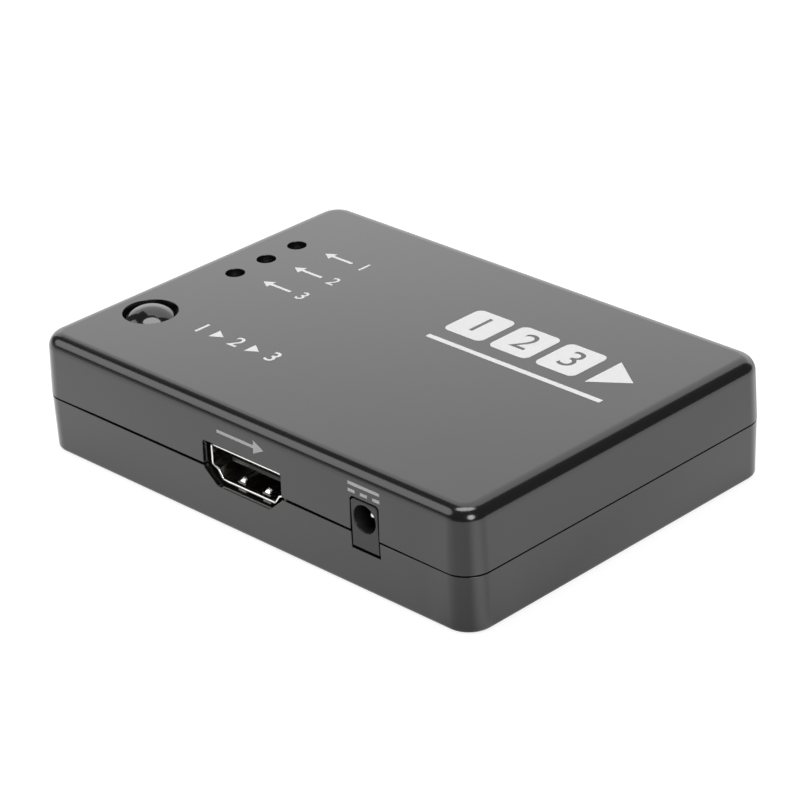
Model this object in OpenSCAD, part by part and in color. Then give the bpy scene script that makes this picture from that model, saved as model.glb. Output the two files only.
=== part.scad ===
// Three-way video switch box: a two-part moulded case round a circuit board with its sockets and button.
// The origin is under the middle of the base, +Z is up, +X runs along the front and the front faces -Y.

/* [Case] */
// Width along the front, at the split line
body_w = 84.5; // [80:0.5:110]
// Depth from front to back, at the split line
body_d = 60; // [56:0.5:90]
// Height of the case without the button's dome
body_h = 18; // [17:0.5:24]
// Radius of the upright corners, seen from above
corner_r = 4; // [3.5:0.25:7]
// Radius of the top edge
top_round = 2.2; // [0.8:0.1:2.6]
// Radius of the bottom edge
bottom_round = 0.6; // [0.2:0.1:1.4]
// Thickness of the side walls
wall_t = 1.6; // [1.4:0.1:2]
// Thickness of the top
roof_t = 1.6; // [1.2:0.1:2.2]
// Thickness of the floor
floor_t = 1.6; // [1.2:0.1:2.2]
// Height of the line where the two halves meet
split_z = 8.55; // [7.8:0.05:10]
// Shadow gap between the two halves
split_gap = 0.3; // [0.1:0.05:0.5]
// How far the cover's walls lean in towards the top
cover_draft = 0.22; // [0.02:0.02:0.4]
// How far the base's walls lean in towards the bottom
base_draft = 0.18; // [0.02:0.02:0.4]
// How far the cover stands proud of the base at the split line
cover_step = 0.05; // [0:0.01:0.2]
// Thickness of the lip on the base that locates the cover
lip_t = 0.7; // [0.5:0.05:0.8]
// Height of the lip above the split line
lip_h = 1.2; // [0.6:0.1:2]
// Clearance between the lip and the cover
lip_gap = 0.1; // [0.05:0.05:0.2]

/* [Circuit board] */
// Height of the board's underside above the table
board_z = 4.9; // [4.4:0.1:6]
// Thickness of the board
board_t = 1.6; // [1:0.2:2]
// Gap between the board's edge and the walls
board_gap = 1; // [0.4:0.1:1.4]
// Size of the cut-off corners of the board
board_chamfer = 1.5; // [0.5:0.5:3]
// Clearance of the board's holes and slots round what passes through them
board_hole_gap = 0.2; // [0.1:0.05:0.3]
// How far a soldered leg stands out below the board
leg_out = 0.6; // [0.3:0.1:1]

/* [Screws] */
// Diameter of a screw's shank
screw_d = 2.5; // [2:0.1:3]
// Length of a screw under its head
screw_len = 10; // [8:0.5:11]
// Diameter of a screw's head
screw_head_d = 4.6; // [4:0.1:5]
// Height of a screw's head
screw_head_h = 1.6; // [1.2:0.1:1.8]
// Radius on the edge of a screw's head
screw_head_round = 0.6; // [0.2:0.1:0.8]
// Length of the tapered point of a screw
screw_point = 1.4; // [0.6:0.1:2]
// Depth of the well in the base that hides a screw's head
screw_well = 2.6; // [2.2:0.1:3]
// Clearance round a screw
screw_gap = 0.1; // [0.05:0.05:0.2]
// Clearance round a screw's head in its well
screw_head_gap = 0.3; // [0.2:0.1:0.5]
// Width across the recess in a screw's head
screw_slot_w = 2.4; // [1.6:0.2:3]
// Depth of the recess in a screw's head
screw_slot_depth = 0.9; // [0.5:0.1:1.1]
// Width of an arm of the recess
screw_slot_t = 0.6; // [0.4:0.1:0.8]
// Distance of the screws from the outer faces
screw_inset = 6.3; // [6:0.1:8]
// Wall of the bosses and posts round the screws
boss_wall = 1.4; // [1:0.1:1.6]

/* [Button] */
// Distance of the button's middle from the left face
button_left = 7.75; // [7.5:0.25:20]
// Distance of the button's middle from the front face
button_front = 15.1; // [15:0.1:20]
// Diameter of the button's cap
button_d = 7.3; // [6:0.1:8]
// Gap round the cap in its hole
button_gap = 0.4; // [0.2:0.05:0.6]
// Depth of the cap's rim below the top face
button_rim_drop = 0.4; // [0:0.1:0.8]
// Height of the cap's dome above its rim
button_dome = 1; // [0.65:0.05:1.4]
// Radius of the flat crown in the middle of the dome
button_crown_r = 14; // [10:1:20]
// Diameter of the crown, beyond which the dome bends down
button_crown_d = 2.5; // [2:0.25:4]
// How far the flange under the roof reaches out past the cap
button_flange = 1; // [0.8:0.1:1.2]
// Thickness of the flange
button_flange_t = 0.9; // [0.6:0.1:1]
// Diameter of the stem under the flange
button_stem_d = 4.4; // [3.6:0.2:6]
// Clearance between the flange and the collar that guides it
collar_gap = 0.3; // [0.3:0.05:0.4]
// Wall of the collar
collar_wall = 0.8; // [0.6:0.1:1]
// Depth of the collar below the roof
collar_h = 1.9; // [1.4:0.1:2]

/* [Tactile switch] */
// Width of the switch
switch_w = 6; // [5.8:0.1:6.5]
// Height of the switch's base with its plate
switch_base_h = 3.5; // [3.2:0.1:4]
// Height of the switch to the top of its plunger
switch_h = 8; // [7:0.1:8.2]
// Thickness of the metal plate that holds the plunger in
switch_plate_t = 0.3; // [0.2:0.05:0.4]
// Diameter of the plunger
plunger_d = 3.4; // [3:0.1:3.6]
// Gap round the plunger in its plate
plunger_gap = 0.3; // [0.25:0.05:0.4]
// How far the plunger's foot reaches out under the plate
plunger_foot = 0.6; // [0.5:0.05:0.65]
// Thickness of the plunger's foot
plunger_foot_t = 0.6; // [0.4:0.1:0.7]
// Diameter of the chamber for the foot and the snap dome
switch_chamber_d = 5.2; // [5.2:0.05:5.4]
// Rise of the snap dome
dome_rise = 0.45; // [0.4:0.05:0.5]
// Thickness of the snap dome
dome_t = 0.1; // [0.06:0.02:0.14]
// Width of a switch leg
switch_leg_w = 0.7; // [0.5:0.1:0.9]
// Thickness of a switch leg
switch_leg_t = 0.3; // [0.2:0.05:0.4]
// Distance between the two legs on one side
switch_leg_pitch = 4.5; // [4:0.1:5]

/* [Indicators] */
// Distance of the indicators from the left face
led_left = 7.5; // [7:0.25:20]
// Distance of the middle indicator behind the centre line
led_y = 8.1; // [6:0.1:9]
// Distance from one indicator to the next
led_pitch = 6.25; // [5.5:0.05:7]
// Diameter of a lens, and of its hole in the top
led_d = 2.9; // [2.5:0.1:3.1]
// Length of a lens with its flange
led_len = 5.3; // [4.5:0.1:6]
// How far the dome of a lens rises into its hole
led_peek = 0.6; // [0.3:0.1:0.7]
// How far the flange at the foot of a lens reaches out
led_flange = 0.45; // [0.3:0.05:0.6]
// Thickness of that flange
led_flange_t = 1; // [0.6:0.1:1.4]
// Side of a square lead
led_lead_w = 0.5; // [0.4:0.05:0.6]
// Distance between the two leads of an indicator
led_lead_pitch = 2.54; // [1.6:0.02:2.6]

/* [Video sockets] */
// Place of the output socket along the front
output_x = 0.1; // [-8:0.1:8]
// Distance from one input socket to the next
input_pitch = 23; // [19:0.5:24]
// Depth of a socket's mouth behind the face of the case
socket_recess = 1.1; // [0.6:0.1:1.5]
// Outer width of a socket
socket_w = 14.6; // [14:0.1:15]
// Outer height of a socket
socket_h = 5.12; // [4.9:0.02:5.4]
// Width of a socket's floor
socket_floor_w = 10.4; // [10:0.1:11]
// Width at the knee between the slanted and the shouldered part of the sides
socket_knee_w = 12.3; // [12:0.1:12.8]
// Height of the knee
socket_knee_z = 1.35; // [1.2:0.05:1.5]
// Height where the upright sides start
socket_side_z = 1.8; // [1.7:0.05:2]
// Length of a socket
socket_len = 11; // [10.5:0.1:12]
// Thickness of the metal shell
shell_t = 0.3; // [0.2:0.02:0.34]
// Radius on the folds of the shell
shell_fold_r = 0.45; // [0.4:0.05:0.6]
// Gap between the shell's sides and the window in the case
window_gap = 0.4; // [0.25:0.05:0.5]
// Gap above the shell in its window
window_top_gap = 0.8; // [0.3:0.1:1]
// Gap below the shell in its window
window_drop = 0.42; // [0.2:0.02:0.5]
// Distance of the spring fingers from the socket's middle
finger_x = 2.45; // [2.2:0.05:3]
// Width of a spring finger
finger_w = 1.5; // [1.2:0.1:1.8]
// Length of a spring finger
finger_len = 4.6; // [4:0.1:5]
// Slot round a spring finger
finger_slot = 0.35; // [0.25:0.05:0.45]
// Depth of the fingers' tips behind the mouth
finger_tip = 1; // [0.8:0.1:1.4]
// Radius of the bump near a finger's tip
bump_r = 0.6; // [0.4:0.05:0.7]
// Height of the bump
bump_h = 0.5; // [0.2:0.05:0.55]
// Width of a shell leg
shell_leg_w = 1.2; // [0.8:0.1:1.6]
// Distance of the shell's legs from the mouth and from the back
shell_leg_y = 2.4; // [2:0.1:3]
// Height of the open slot under the back of the shell
tail_slot_h = 1.4; // [0.8:0.1:1.8]
// Length cut out of the shell's floor for the contact tails
tail_slot_len = 2.6; // [2.6:0.1:3]
// Width of the tongue
tongue_w = 10.4; // [10.2:0.1:11.6]
// Thickness of the tongue
tongue_t = 0.7; // [0.6:0.05:1.2]
// Height of the tongue's middle above the board
tongue_z = 2.55; // [2.4:0.05:3]
// Depth of the tongue's tip behind the mouth
tongue_tip = 2; // [1.5:0.1:2.2]
// Radius of the tongue's leading edges
tongue_edge_r = 0.12; // [0.05:0.01:0.25]
// Length of the insulator block behind the tongue
block_len = 4; // [3.6:0.1:4.4]
// Clearance of the insulator in its shell and round its contacts
insulator_gap = 0.04; // [0.02:0.01:0.06]
// Contacts on the tongue's upper side, one fewer below
contact_count = 10; // [6:1:10]
// Distance from one contact to the next
contact_pitch = 1; // [0.9:0.02:1]
// Width of a contact
contact_w = 0.4; // [0.3:0.02:0.44]
// Thickness of a contact
contact_t = 0.15; // [0.1:0.01:0.2]
// Distance of the contacts' tips behind the tongue's tip
contact_setback = 0.5; // [0.3:0.1:1]
// Length of a contact's solder foot behind the socket
contact_foot = 1.2; // [0.8:0.1:1.6]

/* [Supply jack] */
// Place of the jack along the front
jack_x = 23.6; // [18:0.1:26]
// Width of the jack
jack_w = 4.9; // [4.8:0.1:5.4]
// Height of the jack
jack_h = 7.1; // [6.9:0.1:7.4]
// Length of the jack
jack_len = 10.5; // [10:0.1:12]
// Depth of the jack's face behind the face of the case
jack_recess = 0.1; // [0.05:0.05:0.8]
// Size of the chamfer on the jack's upper corners
jack_chamfer = 0.4; // [0.3:0.1:1]
// Length of the full-height front of the jack
jack_front_len = 3.4; // [2.6:0.1:4]
// Height lost behind that front
jack_step = 0.6; // [0.2:0.1:0.7]
// Diameter of the bore that takes the plug
jack_bore_d = 4; // [3.6:0.1:4.2]
// Height of the bore's middle above the board
jack_bore_z = 4.6; // [4.4:0.05:4.6]
// Depth of the bore
jack_bore_depth = 8.4; // [7.5:0.1:9]
// Diameter of the centre pin
jack_pin_d = 1.3; // [1:0.1:1.6]
// Depth of the pin's tip behind the jack's face
jack_pin_tip = 1.2; // [1:0.1:3]
// Rounding of the pin's flat tip
jack_pin_edge_r = 0.25; // [0.1:0.05:0.4]
// Clearance of the metal parts in the jack
jack_metal_gap = 0.05; // [0.03:0.01:0.1]
// Width of the spring and of the terminals
jack_spring_w = 1.4; // [1:0.1:1.6]
// Thickness of the spring and of the terminals
jack_spring_t = 0.25; // [0.2:0.05:0.35]
// How far the spring's hump rises into the bore
jack_spring_rise = 0.35; // [0.1:0.05:0.45]
// Gap round the jack in its window
jack_window_gap = 0.2; // [0.1:0.05:0.3]
// Gap below the jack in its window
jack_window_drop = 0.45; // [0.2:0.05:0.5]

/* [Board parts] */
// Side of the square switching chip
chip_w = 9; // [7:0.5:10]
// Thickness of the switching chip
chip_t = 0.9; // [0.7:0.1:1.4]
// Width of the voltage regulator
regulator_w = 6.5; // [6:0.1:7]
// Depth of the voltage regulator
regulator_d = 3.5; // [3:0.1:3.8]
// Thickness of the voltage regulator
regulator_t = 1.6; // [1.2:0.1:1.8]
// Distance between the regulator's leads
regulator_pitch = 2.3; // [1.8:0.1:2.4]
// Width of a regulator lead
regulator_lead_w = 0.7; // [0.5:0.1:0.9]
// Thickness of a regulator lead
regulator_lead_t = 0.3; // [0.2:0.05:0.4]
// Reach of a regulator lead
regulator_lead_len = 1.6; // [1.2:0.1:2]
// Diameter of the supply capacitor
capacitor_d = 5; // [4:0.1:6]
// Height of the supply capacitor
capacitor_h = 5.4; // [4:0.1:6]
// Thickness of the supply capacitor's square foot
capacitor_foot_t = 0.8; // [0.5:0.1:1]
// Length of a small board part
small_len = 1.6; // [1:0.1:2]
// Width of a small board part
small_w = 0.8; // [0.5:0.1:1]
// Thickness of a small board part
small_t = 0.5; // [0.3:0.05:0.8]
// Small capacitors in the row behind the output socket
small_capacitor_count = 8; // [4:1:8]
// Resistors in the row beside the switching chip
small_resistor_count = 6; // [4:1:6]
// Distance from one small part to the next
small_pitch = 2.2; // [2.2:0.1:3]

/* [Hidden] */
$fn = 64;

// Extra length of a cut past the face that it opens
cut = 1;
board_top = board_z + board_t;
roof_z = body_h - roof_t;
screw_x = body_w / 2 - screw_inset;
screw_y = body_d / 2 - screw_inset;
boss_r = screw_d / 2 + screw_gap + boss_wall;
well_r = screw_head_d / 2 + screw_head_gap;
button_at = [button_left - body_w / 2, button_front - body_d / 2];
button_hole_r = button_d / 2 + button_gap;
button_flange_r = button_d / 2 + button_flange;
switch_base_top = board_top + switch_base_h - switch_plate_t;
plunger_top = board_top + switch_h;
plunger_foot_r = plunger_d / 2 + plunger_foot;
// Running gap between the plunger's foot and the plate above it
plunger_rest_gap = 0.05;
foot_z = switch_base_top - plunger_rest_gap - plunger_foot_t;
chamber_z = foot_z - plunger_rest_gap - dome_rise;
led_x = led_left - body_w / 2;
led_top = roof_z + led_peek;
led_base = led_top - led_len;
leg_drop = board_t + leg_out;
contact_front = tongue_tip + contact_setback;
steel = "silver";
gold = "goldenrod";
black_plastic = [0.12, 0.12, 0.13];
case_plastic = [0.2, 0.2, 0.21];

// Outward normal of the edge from a to b of an outline that runs anticlockwise
function outward(a, b) = [b.y - a.y, a.x - b.x] / norm(b - a);
function before(p, i) = p[(i + len(p) - 1) % len(p)];
function after(p, i) = p[(i + 1) % len(p)];

// The outline p with every edge moved out by the distance given
function grown(p, by) = [for (i = [0:len(p) - 1])
    let (u = outward(before(p, i), p[i]), v = outward(p[i], after(p, i)))
    p[i] + by * (u + v) / (1 + u * v)];

// The outline p with each corner replaced by an arc of radius r
function rounded(p, r, steps = 4) = [for (i = [0:len(p) - 1])
    let (u = outward(before(p, i), p[i]), v = outward(p[i], after(p, i)))
    let (side = sign(u.x * v.y - u.y * v.x), middle = p[i] - side * r * (u + v) / (1 + u * v))
    let (turn = side * acos(min(1, u * v)), start = atan2(side * u.y, side * u.x))
    for (k = [0:steps]) middle + r * [cos(start + turn * k / steps), sin(start + turn * k / steps)]];

// A half outline on the right side, from bottom to top, closed by its mirror image
function both_sides(half) = concat(half, [for (i = [len(half) - 1:-1:0]) [-half[i].x, half[i].y]]);

socket_outline = both_sides([[socket_floor_w / 2, 0], [socket_knee_w / 2, socket_knee_z],
    [socket_w / 2, socket_side_z], [socket_w / 2, socket_h]]);
// The window's slanted sides run beside the line from the floor of the shell to its upright sides
window_slope = (socket_w - socket_floor_w) / 2 / socket_side_z;
window_outline = both_sides([[socket_floor_w / 2 + window_gap - window_drop * window_slope, -window_drop],
    [socket_w / 2 + window_gap, socket_side_z], [socket_w / 2 + window_gap, socket_h + window_top_gap]]);
jack_outline = both_sides([[jack_w / 2, 0], [jack_w / 2, jack_h - jack_chamfer],
    [jack_w / 2 - jack_chamfer, jack_h]]);
jack_window_outline = both_sides([[jack_w / 2 + jack_window_gap, -jack_window_drop],
    [jack_w / 2 + jack_window_gap, jack_h + jack_window_gap - jack_chamfer],
    [jack_w / 2 + jack_window_gap - jack_chamfer, jack_h + jack_window_gap]]);

// Raises an outline drawn in X and Z into a solid that runs from y = 0 back to y = length
module along_y(length) {
    translate([0, length, 0]) rotate([90, 0, 0]) linear_extrude(length) children();
}

// Raises an outline drawn in Y and Z into a strip of the width given, centred on x = 0
module across_x(width) {
    translate([-width / 2, 0, 0]) rotate([90, 0, 90]) linear_extrude(width) children();
}

module on_board() {
    translate([0, 0, board_top]) children();
}

module at_output() {
    translate([output_x, socket_recess - body_d / 2]) children();
}

module at_input(i) {
    translate([(2 - i) * input_pitch, body_d / 2 - socket_recess]) rotate(180) children();
}

module at_every_socket() {
    at_output() children();
    for (i = [1:3]) at_input(i) children();
}

module at_jack() {
    translate([jack_x, jack_recess - body_d / 2]) children();
}

module at_screws() {
    for (sx = [-1, 1], sy = [-1, 1]) translate([sx * screw_x, sy * screw_y]) children();
}

module at_button() {
    translate(button_at) children();
}

module at_led(i) {
    translate([led_x, led_y + (2 - i) * led_pitch]) children();
}

// Carries a wall section round the plan. The section's x runs from the corner axis out to the face
module round_the_plan() {
    for (turn = [0:3]) rotate(90 * turn) {
        half_out = (turn % 2 == 0 ? body_w : body_d) / 2 - corner_r;
        half_run = (turn % 2 == 0 ? body_d : body_w) / 2 - corner_r;
        translate([half_out, half_run, 0]) rotate([90, 0, 0]) linear_extrude(2 * half_run) children();
        translate([half_out, half_run, 0]) rotate_extrude(angle = 90) children();
    }
}

// The plate between the swept walls
module middle_plate(z, t) {
    translate([corner_r - body_w / 2, corner_r - body_d / 2, z])
        cube([body_w - 2 * corner_r, body_d - 2 * corner_r, t]);
}

// A quarter of a disc that rounds a section's outer corner, upwards or downwards
module quarter_disc(r, up) {
    mirror([0, up ? 0 : 1]) intersection() {
        circle(r);
        square(2 * r);
    }
}

module cover_section() {
    face_x = corner_r - cover_draft;
    edge_z = split_z + split_gap / 2;
    rebate_x = corner_r - wall_t + lip_t + lip_gap;
    rebate_z = split_z + lip_h + lip_gap;
    difference() {
        union() {
            polygon([[0, edge_z], [corner_r, edge_z], [face_x, body_h - top_round],
                [face_x - top_round, body_h - top_round], [face_x - top_round, body_h], [0, body_h]]);
            translate([face_x - top_round, body_h - top_round]) quarter_disc(top_round, true);
        }
        polygon([[-cut, 0], [rebate_x, 0], [rebate_x, rebate_z], [corner_r - wall_t, rebate_z],
            [face_x - wall_t, roof_z], [-cut, roof_z]]);
    }
}

module base_section() {
    face_x = corner_r - cover_step;
    foot_x = face_x - base_draft;
    edge_z = split_z - split_gap / 2;
    inner_x = corner_r - wall_t;
    polygon([[0, 0], [foot_x - bottom_round, 0], [foot_x - bottom_round, bottom_round],
        [foot_x, bottom_round], [face_x, edge_z], [inner_x + lip_t, edge_z],
        [inner_x + lip_t, split_z + lip_h],
        [inner_x, split_z + lip_h], [inner_x, floor_t], [0, floor_t]]);
    translate([foot_x - bottom_round, bottom_round]) quarter_disc(bottom_round, false);
}

// Windows through the front and back walls for the sockets and the jack
module wall_windows() {
    depth = wall_t + cover_draft + 2 * cut;
    on_board() at_every_socket() translate([0, -socket_recess - cut, 0])
        along_y(depth) polygon(rounded(window_outline, shell_fold_r));
    on_board() at_jack() translate([0, -jack_recess - cut, 0]) along_y(depth) polygon(jack_window_outline);
}

module top_cover() {
    bore_r = screw_d / 2 + screw_gap;
    bore_top = screw_well + screw_len + cut;
    color(case_plastic) difference() {
        union() {
            round_the_plan() cover_section();
            middle_plate(roof_z, roof_t);
            at_screws() on_board() cylinder(r = boss_r, h = roof_z - board_top + roof_t / 2);
            at_button() translate([0, 0, roof_z - collar_h])
                cylinder(r = button_flange_r + collar_gap + collar_wall, h = collar_h + roof_t / 2);
        }
        at_screws() translate([0, 0, board_top - cut]) cylinder(r = bore_r, h = bore_top - board_top + cut);
        at_button() translate([0, 0, roof_z - collar_h - cut])
            cylinder(r = button_flange_r + collar_gap, h = collar_h + cut);
        at_button() translate([0, 0, roof_z - cut]) cylinder(r = button_hole_r, h = roof_t + 2 * cut);
        for (i = [1:3]) at_led(i) translate([0, 0, roof_z - cut]) cylinder(d = led_d, h = roof_t + 2 * cut);
        wall_windows();
    }
}

module bottom_case() {
    color(case_plastic) difference() {
        union() {
            round_the_plan() base_section();
            middle_plate(0, floor_t);
            at_screws() cylinder(r = well_r + boss_wall, h = board_z);
        }
        at_screws() translate([0, 0, -cut]) cylinder(r = well_r, h = screw_well + cut);
        at_screws() cylinder(r = screw_d / 2 + screw_gap, h = board_z + cut);
        wall_windows();
    }
}

module circuit_board() {
    half_w = body_w / 2 - wall_t - board_gap;
    half_d = body_d / 2 - wall_t - board_gap;
    leg_slot_w = shell_t + 2 * board_hole_gap;
    leg_slot_d = shell_leg_w + 2 * board_hole_gap;
    tact_slot_w = switch_leg_w + 2 * board_hole_gap;
    tact_slot_t = switch_leg_t + 2 * board_hole_gap;
    jack_slot_w = jack_spring_w + 2 * board_hole_gap;
    jack_slot_t = jack_spring_t + 2 * board_hole_gap;
    color("darkgreen") translate([0, 0, board_z]) linear_extrude(board_t) difference() {
        polygon(both_sides([[half_w - board_chamfer, -half_d], [half_w, board_chamfer - half_d],
            [half_w, half_d - board_chamfer], [half_w - board_chamfer, half_d]]));
        at_screws() circle(screw_d / 2 + board_hole_gap);
        for (i = [1:3], side = [-1, 1]) at_led(i) translate([0, side * led_lead_pitch / 2])
            circle(led_lead_w * sqrt(2) / 2 + board_hole_gap);
        at_button() switch_leg_places() square([tact_slot_t, tact_slot_w], center = true);
        at_every_socket() shell_leg_places() square([leg_slot_w, leg_slot_d], center = true);
        at_jack() for (y = [jack_pin_leg_y, jack_spring_leg_y]) translate([0, y])
            square([jack_slot_w, jack_slot_t], center = true);
    }
}

// Four screws: a pan head in its well, and a shank up through the base and the board into the cover
module case_screws() {
    head_r = screw_head_d / 2;
    head_z = screw_well - screw_head_h;
    tip_z = screw_well + screw_len;
    color(steel) at_screws() difference() {
        rotate_extrude() {
            translate([0, head_z]) square([head_r - screw_head_round, screw_head_h]);
            translate([0, head_z + screw_head_round]) square([head_r, screw_head_h - screw_head_round]);
            translate([head_r - screw_head_round, head_z + screw_head_round])
                quarter_disc(screw_head_round, false);
            polygon([[0, screw_well], [screw_d / 2, screw_well], [screw_d / 2, tip_z - screw_point],
                [screw_d / 4, tip_z], [0, tip_z]]);
        }
        for (angle = [0, 90]) rotate(angle)
            translate([-screw_slot_w / 2, -screw_slot_t / 2, head_z - cut])
                cube([screw_slot_w, screw_slot_t, screw_slot_depth + cut]);
    }
}

// The cap's dome is a flat crown that runs on smoothly into a tighter bend
module select_button() {
    rim_z = body_h - button_rim_drop;
    cap_r = button_d / 2;
    crown_edge = button_crown_d / 2;
    crown_angle = asin(crown_edge / button_crown_r);
    crown_drop = button_crown_r * (1 - cos(crown_angle));
    bend_w = cap_r - crown_edge;
    bend_angle = 2 * atan2(button_dome - crown_drop, bend_w) - crown_angle;
    bend_r = bend_w / (sin(bend_angle) - sin(crown_angle));
    bend_z = rim_z + button_dome - crown_drop - bend_r * cos(crown_angle);
    flange_z = roof_z - button_flange_t;
    color(black_plastic) at_button() rotate_extrude() {
        translate([0, plunger_top]) square([button_stem_d / 2, flange_z - plunger_top]);
        translate([0, flange_z]) square([button_flange_r, button_flange_t]);
        translate([0, roof_z]) square([cap_r, rim_z - roof_z]);
        intersection() {
            translate([0, rim_z + button_dome - button_crown_r]) circle(button_crown_r);
            translate([0, rim_z]) square([crown_edge, button_dome + cut]);
        }
        intersection() {
            translate([crown_edge - bend_r * sin(crown_angle), bend_z]) circle(bend_r);
            translate([crown_edge, rim_z]) square([bend_w, button_dome + cut]);
        }
    }
}

module switch_base() {
    color(black_plastic) at_button() difference() {
        translate([-switch_w / 2, -switch_w / 2, board_top])
            cube([switch_w, switch_w, switch_base_top - board_top]);
        translate([0, 0, chamber_z]) cylinder(d = switch_chamber_d, h = switch_base_top - chamber_z + cut);
    }
}

module switch_plate() {
    color(steel) at_button() difference() {
        translate([-switch_w / 2, -switch_w / 2, switch_base_top])
            cube([switch_w, switch_w, switch_plate_t]);
        translate([0, 0, switch_base_top - cut])
            cylinder(r = plunger_d / 2 + plunger_gap, h = switch_plate_t + 2 * cut);
    }
}

module switch_plunger() {
    color("dimgray") at_button() {
        translate([0, 0, foot_z]) cylinder(r = plunger_foot_r, h = plunger_foot_t);
        translate([0, 0, foot_z]) cylinder(d = plunger_d, h = plunger_top - foot_z);
    }
}

// A shallow sprung cap that stands on the chamber's floor and lifts the plunger
module switch_dome() {
    rim_r = plunger_foot_r;
    outer_r = (pow(rim_r, 2) + pow(dome_rise, 2)) / (2 * dome_rise);
    color(steel) at_button() translate([0, 0, chamber_z]) rotate_extrude() intersection() {
        translate([0, dome_rise - outer_r]) difference() {
            circle(outer_r, $fn = 256);
            circle(outer_r - dome_t, $fn = 256);
        }
        square([switch_w, dome_rise + cut]);
    }
}

module switch_leg_places() {
    for (sx = [-1, 1], sy = [-1, 1])
        translate([sx * (switch_w + switch_leg_t) / 2, sy * switch_leg_pitch / 2]) children();
}

module switch_terminals() {
    leg_top = board_top + switch_base_h / 2;
    color(steel) at_button() switch_leg_places()
        translate([-switch_leg_t / 2, -switch_leg_w / 2, board_top - leg_drop])
            cube([switch_leg_t, switch_leg_w, leg_top - board_top + leg_drop]);
}

module led_lens(i) {
    lens_r = led_d / 2;
    color([0.75, 0.78, 0.8]) at_led(i) rotate_extrude() {
        translate([0, led_base]) square([lens_r + led_flange, led_flange_t]);
        translate([0, led_base]) square([lens_r, led_len - lens_r]);
        translate([0, led_top - lens_r]) quarter_disc(lens_r, true);
    }
}

module led_leads(i) {
    lead_z = board_top - leg_drop;
    color(steel) at_led(i) for (side = [-1, 1])
        translate([-led_lead_w / 2, side * led_lead_pitch / 2 - led_lead_w / 2, lead_z])
            cube([led_lead_w, led_lead_w, led_base - lead_z]);
}

module shell_leg_places() {
    for (sx = [-1, 1], y = [shell_leg_y, socket_len - shell_leg_y])
        translate([sx * (socket_w - shell_t) / 2, y]) children();
}

// A sprung strip in the socket's floor, cut free on three sides, with a bump that grips the plug
module spring_finger() {
    bump_sphere_r = (pow(bump_r, 2) + pow(bump_h, 2)) / (2 * bump_h);
    translate([-finger_w / 2, finger_tip, 0]) cube([finger_w, finger_len + finger_slot, shell_t]);
    translate([0, finger_tip + finger_w / 2, shell_t]) rotate_extrude() intersection() {
        translate([0, bump_h - bump_sphere_r]) circle(bump_sphere_r);
        square([finger_w, bump_h + cut]);
    }
}

// Places a finger twice on the floor and twice, upside down, in the roof
module at_fingers() {
    for (sx = [-1, 1]) translate([sx * finger_x, 0, 0]) {
        children();
        translate([0, 0, socket_h]) mirror([0, 0, 1]) children();
    }
}

// The folded metal shell: a shouldered tube with spring fingers, a back flap and four legs
module socket_shell() {
    slot_w = finger_w + 2 * finger_slot;
    difference() {
        union() {
            along_y(socket_len) difference() {
                polygon(rounded(socket_outline, shell_fold_r));
                polygon(rounded(grown(socket_outline, -shell_t), shell_fold_r - shell_t));
            }
            translate([0, socket_len, 0]) along_y(shell_t) intersection() {
                polygon(rounded(socket_outline, shell_fold_r));
                translate([-socket_w / 2, tail_slot_h]) square([socket_w, socket_h]);
            }
        }
        translate([-socket_floor_w / 2, socket_len - tail_slot_len, -cut])
            cube([socket_floor_w, tail_slot_len + cut, shell_t + 2 * cut]);
        at_fingers() translate([-slot_w / 2, finger_tip - finger_slot, -cut])
            cube([slot_w, finger_len + finger_slot, shell_t + 2 * cut]);
    }
    at_fingers() spring_finger();
    shell_leg_places() translate([-shell_t / 2, -shell_leg_w / 2, -leg_drop])
        cube([shell_t, shell_leg_w, leg_drop + socket_side_z + shell_leg_w]);
}

// Side view of a contact: along the tongue, down behind the block and out on the board
function contact_path(z, down_y) = [[contact_front, z], [down_y, z], [down_y, 0],
    [socket_len + contact_foot, 0], [socket_len + contact_foot, contact_t], [down_y + contact_t, contact_t],
    [down_y + contact_t, z + contact_t], [contact_front, z + contact_t]];

// The two rows of contacts, on the tongue's upper and lower faces, each set half a pitch beside the other
module contact_rows(gap) {
    rows = [[tongue_z + tongue_t / 2, socket_len - tail_slot_len / 3, contact_count],
        [tongue_z - tongue_t / 2 - contact_t, socket_len - tail_slot_len * 2 / 3, contact_count - 1]];
    for (row = rows, k = [0:row[2] - 1])
        translate([(k - (row[2] - 1) / 2) * contact_pitch, 0, 0])
            across_x(contact_w + 2 * gap) polygon(grown(contact_path(row[0], row[1]), gap));
}

module socket_insulator() {
    block_y = socket_len - block_len;
    difference() {
        union() {
            translate([0, block_y, 0]) along_y(block_len)
                polygon(rounded(grown(socket_outline, -shell_t - insulator_gap), shell_fold_r - shell_t));
            across_x(tongue_w) polygon(rounded([
                [tongue_tip, tongue_z - tongue_t / 2], [block_y + block_len / 2, tongue_z - tongue_t / 2],
                [block_y + block_len / 2, tongue_z + tongue_t / 2], [tongue_tip, tongue_z + tongue_t / 2]],
                tongue_edge_r));
        }
        contact_rows(insulator_gap);
    }
}

module output_shell() {
    color(steel) on_board() at_output() socket_shell();
}

module output_insulator() {
    color(black_plastic) on_board() at_output() socket_insulator();
}

module output_contacts() {
    color(gold) on_board() at_output() contact_rows(0);
}

module input_shell(i) {
    color(steel) on_board() at_input(i) socket_shell();
}

module input_insulator(i) {
    color(black_plastic) on_board() at_input(i) socket_insulator();
}

module input_contacts(i) {
    color(gold) on_board() at_input(i) contact_rows(0);
}

// The pin's terminal hangs behind the jack, and the spring's leg comes down through its floor
jack_pin_leg_y = jack_len + jack_spring_t / 2;
jack_spring_leg_y = jack_len * 2 / 3;
jack_slot_front = jack_front_len / 2;
jack_slot_back = jack_spring_leg_y + jack_spring_w;

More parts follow.
